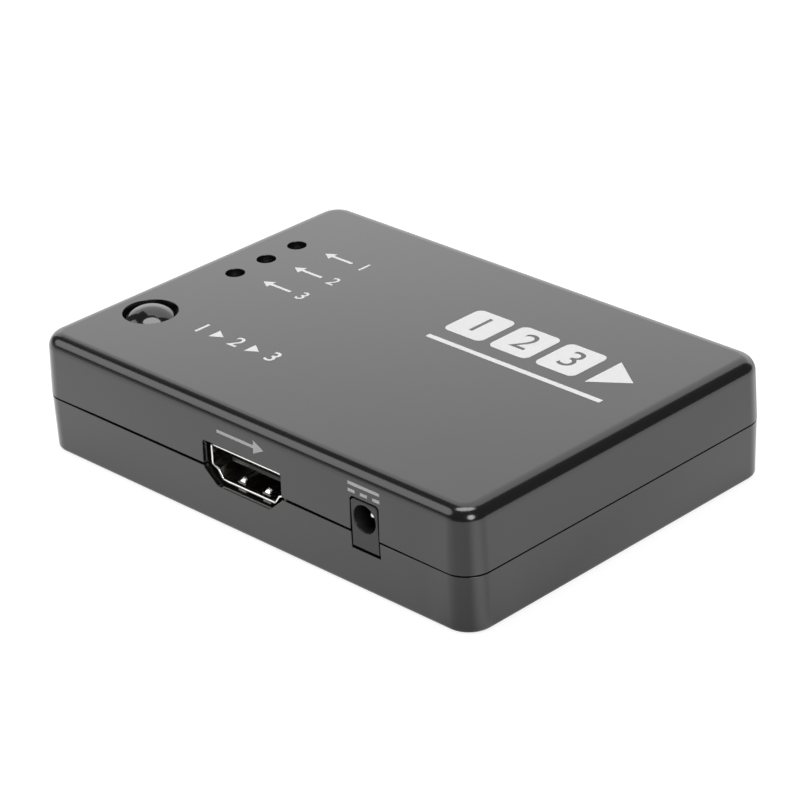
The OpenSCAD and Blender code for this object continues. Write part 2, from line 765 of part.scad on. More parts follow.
module dc_jack_housing() {
    slot_w = jack_spring_w + 4 * jack_metal_gap;
    color(black_plastic) on_board() at_jack() difference() {
        along_y(jack_len) polygon(jack_outline);
        translate([-jack_w / 2 - cut, jack_front_len, jack_h - jack_step])
            cube([jack_w + 2 * cut, jack_len, jack_step + cut]);
        translate([0, -cut, jack_bore_z]) rotate([-90, 0, 0])
            cylinder(d = jack_bore_d, h = jack_bore_depth + cut);
        translate([0, 0, jack_bore_z]) rotate([-90, 0, 0])
            cylinder(r = jack_pin_d / 2 + jack_metal_gap, h = jack_len + cut);
        translate([-slot_w / 2, jack_slot_front, -cut])
            cube([slot_w, jack_slot_back - jack_slot_front, jack_bore_z + cut]);
    }
}

// The pin is riveted through the back of the jack, with its terminal under the rivet
module dc_centre_pin() {
    pin_r = jack_pin_d / 2;
    pin_len = jack_len + jack_spring_t - jack_pin_tip;
    color(steel) on_board() at_jack() {
        translate([0, jack_pin_tip, jack_bore_z]) rotate([-90, 0, 0]) rotate_extrude() {
            square([pin_r - jack_pin_edge_r, pin_len]);
            translate([0, jack_pin_edge_r]) square([pin_r, pin_len - jack_pin_edge_r]);
            translate([pin_r - jack_pin_edge_r, jack_pin_edge_r]) quarter_disc(jack_pin_edge_r, false);
        }
        translate([-jack_spring_w / 2, jack_len, -leg_drop])
            cube([jack_spring_w, jack_spring_t, leg_drop + jack_bore_z + pin_r]);
    }
}

// A leaf under the bore with a hump that presses on the plug's sleeve
module dc_spring() {
    leaf_z = jack_bore_z - jack_bore_d / 2 - jack_spring_t - jack_metal_gap;
    hump_z = leaf_z + jack_spring_rise + jack_metal_gap;
    front_y = jack_slot_front + 2 * jack_metal_gap;
    leg_y = jack_spring_leg_y - jack_spring_t / 2;
    hump_y = (front_y + leg_y) / 2;
    hump_half = jack_spring_w / 2;
    t = jack_spring_t;
    color("peru") on_board() at_jack() across_x(jack_spring_w) polygon([
        [front_y, leaf_z], [hump_y - hump_half, leaf_z], [hump_y, hump_z], [hump_y + hump_half, leaf_z],
        [leg_y, leaf_z], [leg_y, -leg_drop], [leg_y + t, -leg_drop], [leg_y + t, leaf_z + t],
        [hump_y + hump_half, leaf_z + t], [hump_y, hump_z + t], [hump_y - hump_half, leaf_z + t],
        [front_y, leaf_z + t]]);
}

module switch_chip() {
    color(black_plastic) translate([-chip_w / 2, -chip_w / 2, board_top]) cube([chip_w, chip_w, chip_t]);
}

// The regulator stands behind the jack, with its leads towards the front
module at_regulator() {
    back_y = jack_recess + jack_len - body_d / 2;
    translate([jack_x, back_y + regulator_d + 2 * regulator_lead_len, board_top]) children();
}

module voltage_regulator() {
    color(black_plastic) at_regulator()
        translate([-regulator_w / 2, -regulator_d / 2, 0]) cube([regulator_w, regulator_d, regulator_t]);
}

module regulator_leads() {
    t = regulator_lead_t;
    out_y = -regulator_d / 2;
    high_z = regulator_t / 2;
    bend_y = out_y - regulator_lead_len / 2;
    toe_y = out_y - regulator_lead_len;
    color(steel) at_regulator() for (k = [-1:1]) translate([k * regulator_pitch, 0, 0])
        across_x(regulator_lead_w) polygon([[out_y, high_z], [out_y, high_z + t], [bend_y - t, high_z + t],
            [bend_y - t, t], [toe_y, t], [toe_y, 0], [bend_y, 0], [bend_y, high_z]]);
}

// A can on a square foot, beside the regulator
module supply_capacitor() {
    color(steel) at_regulator() translate([-regulator_w / 2 - capacitor_d, 0, 0]) {
        translate([-capacitor_d / 2, -capacitor_d / 2, 0])
            cube([capacitor_d, capacitor_d, capacitor_foot_t]);
        cylinder(d = capacitor_d, h = capacitor_h);
    }
}

module small_row(count) {
    for (k = [0:count - 1])
        translate([(k - (count - 1) / 2) * small_pitch - small_w / 2, -small_len / 2, board_top])
            cube([small_w, small_len, small_t]);
}

module chip_capacitors() {
    color("tan") translate([0, -chip_w / 2 - 2 * small_len, 0]) small_row(small_capacitor_count);
}

module chip_resistors() {
    color("black") translate([-chip_w / 2 - 2 * small_len, 0, 0]) rotate(90) small_row(small_resistor_count);
}

top_cover();
bottom_case();
circuit_board();
case_screws();
select_button();
switch_base();
switch_plate();
switch_plunger();
switch_dome();
switch_terminals();
led_lens(1);  // led_lens_1
led_lens(2);  // led_lens_2
led_lens(3);  // led_lens_3
led_leads(1);  // led_leads_1
led_leads(2);  // led_leads_2
led_leads(3);  // led_leads_3
output_shell();
output_insulator();
output_contacts();
input_shell(1);  // input_shell_1
input_shell(2);  // input_shell_2
input_shell(3);  // input_shell_3
input_insulator(1);  // input_insulator_1
input_insulator(2);  // input_insulator_2
input_insulator(3);  // input_insulator_3
input_contacts(1);  // input_contacts_1
input_contacts(2);  // input_contacts_2
input_contacts(3);  // input_contacts_3
dc_jack_housing();
dc_centre_pin();
dc_spring();
switch_chip();
voltage_regulator();
regulator_leads();
supply_capacitor();
chip_capacitors();
chip_resistors();
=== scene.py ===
import math

import bmesh
import bpy
from mathutils import Matrix, Vector


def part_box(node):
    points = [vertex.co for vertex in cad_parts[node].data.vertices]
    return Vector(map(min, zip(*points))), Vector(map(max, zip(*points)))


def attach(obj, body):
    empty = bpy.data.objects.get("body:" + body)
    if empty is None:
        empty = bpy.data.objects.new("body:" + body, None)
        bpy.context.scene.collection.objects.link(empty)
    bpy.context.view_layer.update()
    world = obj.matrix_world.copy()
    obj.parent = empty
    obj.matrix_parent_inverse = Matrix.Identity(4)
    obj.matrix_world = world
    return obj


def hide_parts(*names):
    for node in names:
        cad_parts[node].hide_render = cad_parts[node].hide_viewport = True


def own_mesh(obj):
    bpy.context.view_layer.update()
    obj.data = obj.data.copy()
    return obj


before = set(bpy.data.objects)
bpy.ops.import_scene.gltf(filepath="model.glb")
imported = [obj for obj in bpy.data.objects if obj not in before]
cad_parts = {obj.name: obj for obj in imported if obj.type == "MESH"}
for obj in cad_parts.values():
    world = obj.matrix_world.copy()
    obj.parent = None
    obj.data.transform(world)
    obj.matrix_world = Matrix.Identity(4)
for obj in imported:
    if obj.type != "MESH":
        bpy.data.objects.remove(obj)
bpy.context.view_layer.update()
scene = bpy.context.scene
mm = 0.001  # shapes below are drawn in millimetres and stored in metres


def lowOf(node):
    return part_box(node)[0] / mm


def highOf(node):
    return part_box(node)[1] / mm


def middleOf(node):
    return (lowOf(node) + highOf(node)) / 2


def over(node):  # the upright axis through a node's middle
    return Matrix.Translation((*middleOf(node).xy, 0))


# outlines: flat lists of points, anticlockwise where they close
def cornerArc(before, here, after, radius, steps=None):
    here = Vector(here)
    back = (Vector(before) - here).normalized()
    on = (Vector(after) - here).normalized()
    half = back.angle(on) / 2
    if radius == 0:
        return [here]
    centre = here + (back + on).normalized() * (radius / math.sin(half))
    first = here + back * (radius / math.tan(half)) - centre
    steps = steps or 3 + int(8 * radius)  # more for a larger round
    turn = (math.pi - 2 * half) * (1 if back.cross(on) < 0 else -1)
    return [centre + turned(first, turn * k / steps) for k in range(steps + 1)]


def turned(point, angle):
    c, s = math.cos(angle), math.sin(angle)
    return Vector((point.x * c - point.y * s, point.x * s + point.y * c))


def roundedLine(corners):  # corners are x, y, radius
    line = [Vector(corners[0][:2])]
    for before, here, after in zip(corners, corners[1:], corners[2:]):
        line += cornerArc(before[:2], here[:2], after[:2], here[2])
    return line + [Vector(corners[-1][:2])]


def roundedLoop(loop, radius, steps=6):
    after = loop[1:] + loop[:1]
    return [p for k, here in enumerate(loop) for p in cornerArc(loop[k - 1], here, after[k], radius, steps)]


def outward(a, b):
    return Vector((b[1] - a[1], a[0] - b[0])).normalized()


def grow(loop, by):
    grown = []
    for k, here in enumerate(loop):
        u, v = outward(loop[k - 1], here), outward(here, loop[(k + 1) % len(loop)])
        grown.append(Vector(here) + (u + v) * (by / (1 + u.dot(v))))
    return grown


def bothSides(half):  # a right half from bottom to top, closed by its mirror image
    return half + [(-x, z) for x, z in reversed(half)]


def quarterTurn(steps):
    return [math.pi / 2 * k / steps for k in range(steps + 1)]


def lipArc(lip, first=10, steps=6):  # (how far out, how deep) down a rounded edge, from the face inwards
    angles = [math.radians(first + (90 - first) * k / steps) for k in range(steps + 1)]
    return [(lip * (1 - math.sin(a)), lip * (1 - math.cos(a))) for a in angles]


# meshes
def newPiece(name, points, faces):
    mesh = bpy.data.meshes.new(name)
    mesh.from_pydata([Vector(p) * mm for p in points], [], faces)
    return linked(name, mesh)


def linked(name, data):
    piece = bpy.data.objects.new(name, data)
    scene.collection.objects.link(piece)
    return piece


def cleaned(piece, fillOpenEnds=False):
    work = bmesh.new()
    work.from_mesh(piece.data)
    bmesh.ops.remove_doubles(work, verts=work.verts, dist=1e-7)
    if fillOpenEnds:
        bmesh.ops.holes_fill(work, edges=[e for e in work.edges if e.is_boundary], sides=0)
    bmesh.ops.recalc_face_normals(work, faces=work.faces)
    work.to_mesh(piece.data)
    work.free()
    return piece


def loft(name, rings, loop=False):  # joins rings of equal count, with flat ends unless they loop
    count, last = len(rings[0]), len(rings) - 1
    faces = []
    for r in range(len(rings) if loop else last):
        a, b = r * count, (r + 1) % len(rings) * count
        faces += [(a + k, a + (k + 1) % count, b + (k + 1) % count, b + k) for k in range(count)]
    if not loop:
        faces += [tuple(range(count)), tuple(range(last * count, (last + 1) * count))]
    return cleaned(newPiece(name, [p for ring in rings for p in ring], faces))


def lathe(name, profile, place=Matrix(), steps=96):  # profile of (radius, height) from axis to axis
    rings = []
    for k in range(steps):
        c, s = math.cos(2 * math.pi * k / steps), math.sin(2 * math.pi * k / steps)
        rings.append([place @ Vector((r * c, r * s, z)) for r, z in profile])
    count = len(profile)
    faces = []
    for turn in range(steps):
        a, b = turn * count, (turn + 1) % steps * count
        faces += [(a + k, b + k, b + k + 1, a + k + 1) for k in range(count - 1)]
    return cleaned(newPiece(name, [p for ring in rings for p in ring], faces))


def block(name, low, high):
    (x0, y0, z0), (x1, y1, z1) = low, high
    return loft(name, [[(x0, y0, z), (x1, y0, z), (x1, y1, z), (x0, y1, z)] for z in (z0, z1)])


def joined(name, parts):
    work = bmesh.new()
    for part in parts:
        work.from_mesh(part.data)
        bpy.data.objects.remove(part)
    mesh = bpy.data.meshes.new(name)
    work.to_mesh(mesh)
    work.free()
    return linked(name, mesh)


def plainMesh(piece):
    graph = bpy.context.evaluated_depsgraph_get()
    shown = piece.evaluated_get(graph)
    return bpy.data.meshes.new_from_object(shown, preserve_all_data_layers=True, depsgraph=graph)


def settled(piece):
    mesh = plainMesh(piece)
    piece.modifiers.clear()
    piece.data = mesh
    return piece


def combined(piece, other, operation):
    change = piece.modifiers.new(operation, "BOOLEAN")
    change.operation, change.solver, change.object = operation, "EXACT", other
    settled(piece)
    bpy.data.objects.remove(other)
    return cleaned(piece)


def moved(piece, place):  # place is in millimetres
    piece.data.transform(Matrix.Translation(place.translation * mm) @ place.to_3x3().to_4x4())
    return piece


def softShaded(piece, sharpAngle=32):
    piece.data.shade_smooth()
    piece.data.set_sharp_from_angle(angle=math.radians(sharpAngle))
    weight = piece.modifiers.new("faceWeight", "WEIGHTED_NORMAL")
    weight.keep_sharp = True
    return settled(piece)


def painted(piece, material):
    piece.data.materials.clear()
    piece.data.materials.append(material)
    return piece


def fitted(piece, material, node, body="case"):
    softShaded(painted(piece, material))
    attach(piece, body)
    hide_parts(node)
    return piece


# geometry node trees
def geometryTree(name, inputs):
    tree = bpy.data.node_groups.new(name, "GeometryNodeTree")
    for label, kind in inputs:
        tree.interface.new_socket(label, in_out="INPUT", socket_type="NodeSocket" + kind)
    tree.interface.new_socket("Geometry", in_out="OUTPUT", socket_type="NodeSocketGeometry")
    return tree, tree.nodes.new("NodeGroupInput"), tree.nodes.new("NodeGroupOutput")


def treeEnd(tree, shape, start, end):  # every tree closes with real geometry and its material
    real = tree.nodes.new("GeometryNodeRealizeInstances")
    paint = tree.nodes.new("GeometryNodeSetMaterial")
    tree.links.new(shape, real.inputs["Geometry"])
    tree.links.new(real.outputs["Geometry"], paint.inputs["Geometry"])
    tree.links.new(start.outputs["Material"], paint.inputs["Material"])
    tree.links.new(paint.outputs["Geometry"], end.inputs["Geometry"])


def grownFrom(name, source, tree, values):
    modifier = source.modifiers.new(tree.name, "NODES")
    modifier.node_group = tree
    for item in tree.interface.items_tree:
        if item.in_out == "INPUT" and item.name in values:
            modifier[item.identifier] = values[item.name]
    mesh = plainMesh(source)
    bpy.data.objects.remove(source)
    return linked(name, mesh)


def planSweepTree():  # carries a wall section round a rectangle with rounded corners
    tree, start, end = geometryTree("planSweep", [
        ("Section", "Geometry"), ("Width", "Float"), ("Depth", "Float"), ("Corner Radius", "Float"),
        ("Corner Steps", "Int"), ("Material", "Material")])
    plan = tree.nodes.new("GeometryNodeCurvePrimitiveQuadrilateral")
    corners = tree.nodes.new("GeometryNodeFilletCurve")
    corners.mode = "POLY"
    upright = tree.nodes.new("GeometryNodeSetCurveNormal")
    upright.mode = "Z_UP"
    sweep = tree.nodes.new("GeometryNodeCurveToMesh")
    link = tree.links.new
    link(start.outputs["Width"], plan.inputs["Width"])
    link(start.outputs["Depth"], plan.inputs["Height"])
    link(plan.outputs["Curve"], corners.inputs["Curve"])
    link(start.outputs["Corner Radius"], corners.inputs["Radius"])
    link(start.outputs["Corner Steps"], corners.inputs["Count"])
    link(corners.outputs["Curve"], upright.inputs["Curve"])
    link(upright.outputs["Curve"], sweep.inputs["Curve"])
    link(start.outputs["Section"], sweep.inputs["Profile Curve"])
    treeEnd(tree, sweep.outputs["Mesh"], start, end)
    return tree


def gridCopyTree():  # sets copies of a shape on the corners of a grid
    tree, start, end = geometryTree("gridCopy", [
        ("Shape", "Geometry"), ("Spacing X", "Float"), ("Spacing Y", "Float"), ("Count X", "Int"),
        ("Count Y", "Int"), ("Material", "Material")])
    grid = tree.nodes.new("GeometryNodeMeshGrid")
    copies = tree.nodes.new("GeometryNodeInstanceOnPoints")
    link = tree.links.new
    for source, target in (("Spacing X", "Size X"), ("Spacing Y", "Size Y"),
                           ("Count X", "Vertices X"), ("Count Y", "Vertices Y")):
        link(start.outputs[source], grid.inputs[target])
    link(grid.outputs["Mesh"], copies.inputs["Points"])
    link(start.outputs["Shape"], copies.inputs["Instance"])
    treeEnd(tree, copies.outputs["Instances"], start, end)
    return tree


planSweep = planSweepTree()
gridCopy = gridCopyTree()


# shader groups
finish = {
    "speck": 0.04, "leastRough": 0.04, "smudgeScale": 45,  # mouldings
    "lineStretch": (1.0, 0.06, 1.0), "cloudScale": 0.2, "toneFrom": 0.85, "toneSpan": 0.3,  # sheet metal
}


def shaderGroup(name, inputs, outputs):
    tree = bpy.data.node_groups.new(name, "ShaderNodeTree")
    tree.interface.new_socket("Vector", in_out="INPUT", socket_type="NodeSocketVector")
    for label in inputs:
        tree.interface.new_socket(label, in_out="INPUT", socket_type="NodeSocketFloat")
    for label in outputs:
        tree.interface.new_socket(label, in_out="OUTPUT", socket_type="NodeSocketFloat")
    return tree, tree.nodes.new("NodeGroupInput"), tree.nodes.new("NodeGroupOutput")


def mathNode(tree, operation, *values):
    made = tree.nodes.new("ShaderNodeMath")
    made.operation = operation
    for socket, value in zip(made.inputs, values):
        if isinstance(value, (int, float)):
            socket.default_value = value
        else:
            tree.links.new(value, socket)
    return made.outputs[0]


def noiseNode(tree, vector, scale, detail=3.0, roughness=0.55):
    made = tree.nodes.new("ShaderNodeTexNoise")
    made.inputs["Detail"].default_value = detail
    made.inputs["Roughness"].default_value = roughness
    tree.links.new(vector, made.inputs["Vector"])
    tree.links.new(scale, made.inputs["Scale"])
    return made.outputs["Fac"]


def mouldedSkinGroup():  # fine surface of a moulding, with patches where hands have dulled it
    tree, start, end = shaderGroup("mouldedSkin", ["Grain Scale", "Smudge Scale", "Gloss", "Smudge"],
                                   ["Height", "Roughness"])
    grain = noiseNode(tree, start.outputs["Vector"], start.outputs["Grain Scale"], 2.0)
    patch = noiseNode(tree, start.outputs["Vector"], start.outputs["Smudge Scale"], 4.0)
    dulled = mathNode(tree, "MULTIPLY", mathNode(tree, "SUBTRACT", patch, 0.5), start.outputs["Smudge"])
    speck = mathNode(tree, "MULTIPLY", mathNode(tree, "SUBTRACT", grain, 0.5), finish["speck"])
    rough = mathNode(tree, "ADD", mathNode(tree, "ADD", start.outputs["Gloss"], dulled), speck)
    tree.links.new(grain, end.inputs["Height"])
    tree.links.new(mathNode(tree, "MAXIMUM", rough, finish["leastRough"]), end.inputs["Roughness"])
    return tree


def drawnMetalGroup():  # fine lines that rolling and stamping leave in sheet metal
    tree, start, end = shaderGroup("drawnMetal", ["Line Scale", "Gloss", "Lines"],
                                   ["Height", "Roughness", "Tone"])
    stretch = tree.nodes.new("ShaderNodeVectorMath")
    stretch.operation = "MULTIPLY"
    stretch.inputs[1].default_value = finish["lineStretch"]
    tree.links.new(start.outputs["Vector"], stretch.inputs[0])
    lines = noiseNode(tree, stretch.outputs["Vector"], start.outputs["Line Scale"], 4.0, 0.7)
    cloudScale = mathNode(tree, "MULTIPLY", start.outputs["Line Scale"], finish["cloudScale"])
    cloud = noiseNode(tree, start.outputs["Vector"], cloudScale)
    spread = mathNode(tree, "MULTIPLY", mathNode(tree, "SUBTRACT", lines, 0.5), start.outputs["Lines"])
    rough = mathNode(tree, "ADD", start.outputs["Gloss"], spread)
    tree.links.new(lines, end.inputs["Height"])
    tree.links.new(mathNode(tree, "MAXIMUM", rough, finish["leastRough"]), end.inputs["Roughness"])
    tone = mathNode(tree, "ADD", finish["toneFrom"], mathNode(tree, "MULTIPLY", cloud, finish["toneSpan"]))
    tree.links.new(tone, end.inputs["Tone"])
    return tree


mouldedSkin = mouldedSkinGroup()
drawnMetal = drawnMetalGroup()


# materials
def newMaterial(name, group, settings, constants):
    material = bpy.data.materials.new(name)
    material.use_nodes = True
    tree = material.node_tree
    shader = tree.nodes["Principled BSDF"]
    place = tree.nodes.new("ShaderNodeTexCoord")
    effect = tree.nodes.new("ShaderNodeGroup")
    effect.node_tree = group
    tree.links.new(place.outputs["Object"], effect.inputs["Vector"])
    for label, value in settings.items():
        effect.inputs[label].default_value = value
    for label, value in constants.items():
        shader.inputs[label].default_value = value
    tree.links.new(effect.outputs["Roughness"], shader.inputs["Roughness"])
    return material, tree, shader, effect


def addBump(tree, shader, height, depth, strength):
    bump = tree.nodes.new("ShaderNodeBump")
    bump.inputs["Distance"].default_value = depth * mm
    bump.inputs["Strength"].default_value = strength
    tree.links.new(height, bump.inputs["Height"])
    tree.links.new(bump.outputs["Normal"], shader.inputs["Normal"])


def tintedColour(tree, shader, factor, dark, light):
    mix = tree.nodes.new("ShaderNodeMix")
    mix.data_type = "RGBA"
    mix.inputs["A"].default_value = (*dark, 1)
    mix.inputs["B"].default_value = (*light, 1)
    tree.links.new(factor, mix.inputs["Factor"])
    tree.links.new(mix.outputs["Result"], shader.inputs["Base Color"])


def plastic(name, dark, light, gloss, ior=1.5, grainScale=2600, smudge=0.05, grainDepth=0.004, bump=0.25):
    material, tree, shader, skin = newMaterial(
        name, mouldedSkin,
        {"Grain Scale": grainScale, "Smudge Scale": finish["smudgeScale"], "Gloss": gloss, "Smudge": smudge},
        {"IOR": ior})
    tintedColour(tree, shader, skin.outputs["Height"], dark, light)
    addBump(tree, shader, skin.outputs["Height"], grainDepth, bump)
    return material


def metal(name, dark, light, gloss, lineScale=2200, lines=0.2, lineDepth=0.003, bump=0.3):
    material, tree, shader, drawn = newMaterial(
        name, drawnMetal, {"Line Scale": lineScale, "Gloss": gloss, "Lines": lines}, {"Metallic": 1.0})
    tintedColour(tree, shader, drawn.outputs["Tone"], dark, light)
    addBump(tree, shader, drawn.outputs["Height"], lineDepth, bump)
    return material


def grey(value):
    return (value, value, value * 1.01)


casePlastic = plastic("casePlastic", grey(0.005), grey(0.008), 0.17, ior=1.68)
buttonPlastic = plastic("buttonPlastic", grey(0.004), grey(0.007), 0.10, ior=1.68, smudge=0.03)
jackPlastic = plastic("jackPlastic", grey(0.014), grey(0.020), 0.34, grainDepth=0.006)
insulatorPlastic = plastic("insulatorPlastic", grey(0.008), grey(0.014), 0.42, ior=1.4)
chipResin = plastic("chipResin", grey(0.015), grey(0.030), 0.60, grainDepth=0.012)
printInk = plastic("printInk", grey(0.66), grey(0.74), 0.55, grainDepth=0.003)
boardMask = plastic("boardMask", (0.003, 0.010, 0.006), (0.005, 0.018, 0.010), 0.32, grainScale=900)
ceramicBrown = plastic("ceramicBrown", (0.30, 0.20, 0.11), (0.38, 0.27, 0.16), 0.45)
resistorBlack = plastic("resistorBlack", grey(0.02), grey(0.035), 0.35)
shellSteel = metal("shellSteel", (0.70, 0.69, 0.68), (0.86, 0.85, 0.83), 0.14, lines=0.12)
screwSteel = metal("screwSteel", (0.30, 0.30, 0.31), (0.46, 0.46, 0.47), 0.30)
tinLead = metal("tinLead", (0.60, 0.60, 0.60), (0.74, 0.74, 0.73), 0.28)
springBronze = metal("springBronze", (0.55, 0.36, 0.18), (0.68, 0.46, 0.25), 0.25)
contactGold = metal("contactGold", (0.78, 0.62, 0.36), (0.92, 0.76, 0.48), 0.18)
canAluminium = metal("canAluminium", (0.66, 0.67, 0.68), (0.82, 0.83, 0.84), 0.26)


def lensMaterial():
    material, tree, shader, skin = newMaterial(
        "smokedLens", mouldedSkin, {"Grain Scale": 1200, "Smudge Scale": 60, "Gloss": 0.16, "Smudge": 0.04},
        {"IOR": 1.52, "Transmission Weight": 0.35})
    tintedColour(tree, shader, skin.outputs["Height"], grey(0.09), grey(0.12))
    return material


smokedLens = lensMaterial()
print("materials:", len(bpy.data.materials))


# case halves
caseShape = {
    "cornerRadius": 4.0, "cornerSteps": 24, "inset": 2.6,
    "wall": 1.6, "roof": 1.6, "floor": 1.6,
    "topRound": 2.2, "bottomRound": 0.6, "edgeRound": 0.07,
    "splitHeight": 8.55, "splitGap": 0.2, "rimBand": 0.2,
    # lift of the cover's front rim, by x
    "rimBow": [(-42.3, 0), (-30, 0.20), (-10, 0.26), (10, 0.28), (25, 0.14), (37, 0)],
    "coverDraft": 0.22, "baseDraft": 0.18, "coverStep": 0.05,
    "lipThick": 0.7, "lipHeight": 1.2, "lipGap": 0.1,
    "windowLip": 0.10, "holeLip": 0.08, "pastCut": 1.0,
}
halfWidth, halfDepth, topZ = highOf("top_cover")
boardTop = highOf("circuit_board").z
coverRim = caseShape["splitHeight"] + caseShape["splitGap"] / 2
baseRim = caseShape["splitHeight"] - caseShape["splitGap"] / 2
roofUnder = topZ - caseShape["roof"]


def coverLean(z):  # how far the cover's face lies inside the plan at a height
    return caseShape["coverDraft"] * (z - coverRim) / (topZ - caseShape["topRound"] - coverRim)


def baseLean(z):  # the same for the base
    s = caseShape
    return s["coverStep"] + s["baseDraft"] * (baseRim - z) / (baseRim - s["bottomRound"])


def coverSection():
    s = caseShape
    rebate = s["lipThick"] + s["lipGap"] - s["wall"]
    rebateTop = s["splitHeight"] + s["lipHeight"] + s["lipGap"]
    return roundedLine([
        (-s["inset"], topZ, 0), (-coverLean(topZ), topZ, s["topRound"]), (0, coverRim, s["edgeRound"]),
        (rebate, coverRim, s["edgeRound"]), (rebate, rebateTop, 0), (-s["wall"], rebateTop, 0),
        (-coverLean(roofUnder) - s["wall"], roofUnder, 0), (-s["inset"], roofUnder, 0)])


def baseSection():
    s = caseShape
    lipTop = s["splitHeight"] + s["lipHeight"]
    return roundedLine([
        (-s["inset"], 0, 0), (-baseLean(0), 0, s["bottomRound"]), (-s["coverStep"], baseRim, s["edgeRound"]),
        (s["lipThick"] - s["wall"], baseRim, 0), (s["lipThick"] - s["wall"], lipTop, s["edgeRound"]),
        (-s["wall"], lipTop, 0), (-s["wall"], s["floor"], 0), (-s["inset"], s["floor"], 0)])


def sweptShell(name, section):
    curve = bpy.data.curves.new(name + "Section", "CURVE")
    curve.dimensions = "3D"
    line = curve.splines.new("POLY")
    line.points.add(len(section) - 1)
    for point, (x, z) in zip(line.points, section):
        point.co = (x * mm, -z * mm, 0, 1)  # the sweep turns the section's y down
    swept = grownFrom(name, linked(name + "Path", curve), planSweep, {
        "Width": 2 * halfWidth * mm, "Depth": 2 * halfDepth * mm, "Material": casePlastic,
        "Corner Radius": caseShape["cornerRadius"] * mm, "Corner Steps": caseShape["cornerSteps"]})
    return cleaned(swept, fillOpenEnds=True)


# windows in the front and back walls
socketShape = {
    "halfOutline": [(5.2, 0), (6.15, 1.35), (7.3, 1.8), (7.3, 5.12)], "sheet": 0.3, "fold": 0.45,
    "length": 11.0, "rimRound": 0.04, "leadIn": 0.16, "rimSteps": 5, "pastSheet": 0.5,
    "windowGap": 0.4, "windowTopGap": 0.8, "windowDrop": 0.42,
    "fingerX": 2.45, "fingerWidth": 1.5, "fingerLength": 4.6, "fingerTip": 1.0, "fingerSlot": 0.35,
    "bumpWidth": 1.2, "bumpLength": 1.3, "bumpHeight": 0.5, "bumpRoot": 0.1, "bumpSteps": 12,
    "bumpSlope": 1.3, "bumpEnds": 4,  # powers, of which a higher one is squarer
    "legWidth": 1.2, "legFromEnd": 2.4, "legThinner": 0.02,
    "tailWidth": 10.4, "tailLength": 2.6, "tailHeight": 1.4, "flapOverlap": 0.05,
}
jackShape = {
    "halfOutline": [(2.45, 0), (2.45, 6.7), (2.05, 7.1)], "length": 10.5, "edgeRound": 0.12, "edgeSteps": 5,
    "windowGap": 0.2, "windowDrop": 0.45, "chamfer": 0.4, "frontLength": 3.4, "step": 0.6,
    "bore": 2.0, "boreHeight": 4.6, "boreDepth": 8.4, "boreLip": 0.15,
    "pin": 0.65, "pinTip": 1.3, "pinRound": 0.62, "pinGap": 0.05, "terminalWidth": 1.4,
    "slotWidth": 1.6, "slotFrom": 1.7, "slotTo": 8.4, "slotDrop": 1.0,
}
socketNodes = {"output": "output_shell", "input1": "input_shell_1", "input2": "input_shell_2",
               "input3": "input_shell_3"}


def facesBack(node):
    return middleOf(node).y > 0


def socketWindow():
    s = socketShape
    (floorX, _), (_, _), (sideX, sideZ), (_, topEdge) = s["halfOutline"]
    slope = (sideX - floorX) / sideZ
    low = (floorX + s["windowGap"] - s["windowDrop"] * slope, -s["windowDrop"])
    half = [low, (sideX + s["windowGap"], sideZ), (sideX + s["windowGap"], topEdge + s["windowTopGap"])]
    return roundedLoop(bothSides(half), s["fold"])


def jackWindow():
    s = jackShape
    (sideX, _), (_, shoulder), (_, top) = s["halfOutline"]
    gap = s["windowGap"]
    return bothSides([(sideX + gap, -s["windowDrop"]), (sideX + gap, shoulder + gap),
                      (sideX + gap - s["chamfer"], top + gap)])


def windowCutter(outline, centreX, back, lean):
    side = -1 if back else 1
    deepest = caseShape["wall"] + caseShape["coverDraft"] + caseShape["pastCut"]
    lip = lipArc(caseShape["windowLip"])
    steps = [(lip[0][0], -caseShape["pastCut"])] + lip + [(0, deepest)]
    rings = []
    for out, depth in steps:
        rings.append([(centreX + side * x, side * (lean(boardTop + z) + depth - halfDepth), boardTop + z)
                      for x, z in grow(outline, out)])
    return loft("window", rings)


def windowCutters(lean):
    cutters = [windowCutter(socketWindow(), middleOf(n).x, facesBack(n), lean) for n in socketNodes.values()]
    return cutters + [windowCutter(jackWindow(), middleOf("dc_jack_housing").x, False, lean)]


# what the case makes room for: screws, button and indicators
screwShape = {
    "headRadius": 2.3, "headHeight": 1.6, "headRound": 0.6, "edgeRound": 0.05, "shank": 1.25, "point": 1.4,
    "crossWidth": 0.6, "crossReach": 1.2, "crossDepth": 0.9,
    "wellRadius": 2.6, "wellDepth": 2.6, "bore": 1.35, "boss": 2.75, "post": 4.0, "boreTop": 13.6,
}
buttonShape = {
    "capRadius": 3.65, "gap": 0.4, "rimDrop": 0.7, "dome": 1.5, "domeSteps": 36, "edgeRound": 0.12,
    "flangeRadius": 4.65, "flangeHeight": 0.9, "stemRadius": 2.2,
    "collarGap": 0.3, "collarWall": 0.8, "collarHeight": 1.9,
}
lensShape = {"radius": 1.45, "flange": 1.9, "flangeHeight": 1.0, "domeSteps": 14}
lensNodes = ["led_lens_1", "led_lens_2", "led_lens_3"]


def screwPlaces():
    reach = highOf("case_screws") - Vector((screwShape["headRadius"], screwShape["headRadius"], 0))
    return [Matrix.Translation((sx * reach.x, sy * reach.y, 0)) for sx in (-1, 1) for sy in (-1, 1)]


def upTo(radius, lip, top, below):  # profile of a round cutter whose upper edge is rounded over
    rounded = [(radius + out, top - depth) for out, depth in reversed(lipArc(lip))]
    return below + rounded + [(rounded[-1][0], top + caseShape["pastCut"]), (0, top + caseShape["pastCut"])]


def levelAt(points, place):  # straight lines between points of (place, level)
    for (a, low), (b, high) in zip(points, points[1:]):
        if a <= place <= b:
            return low + (high - low) * (place - a) / (b - a)
    return 0


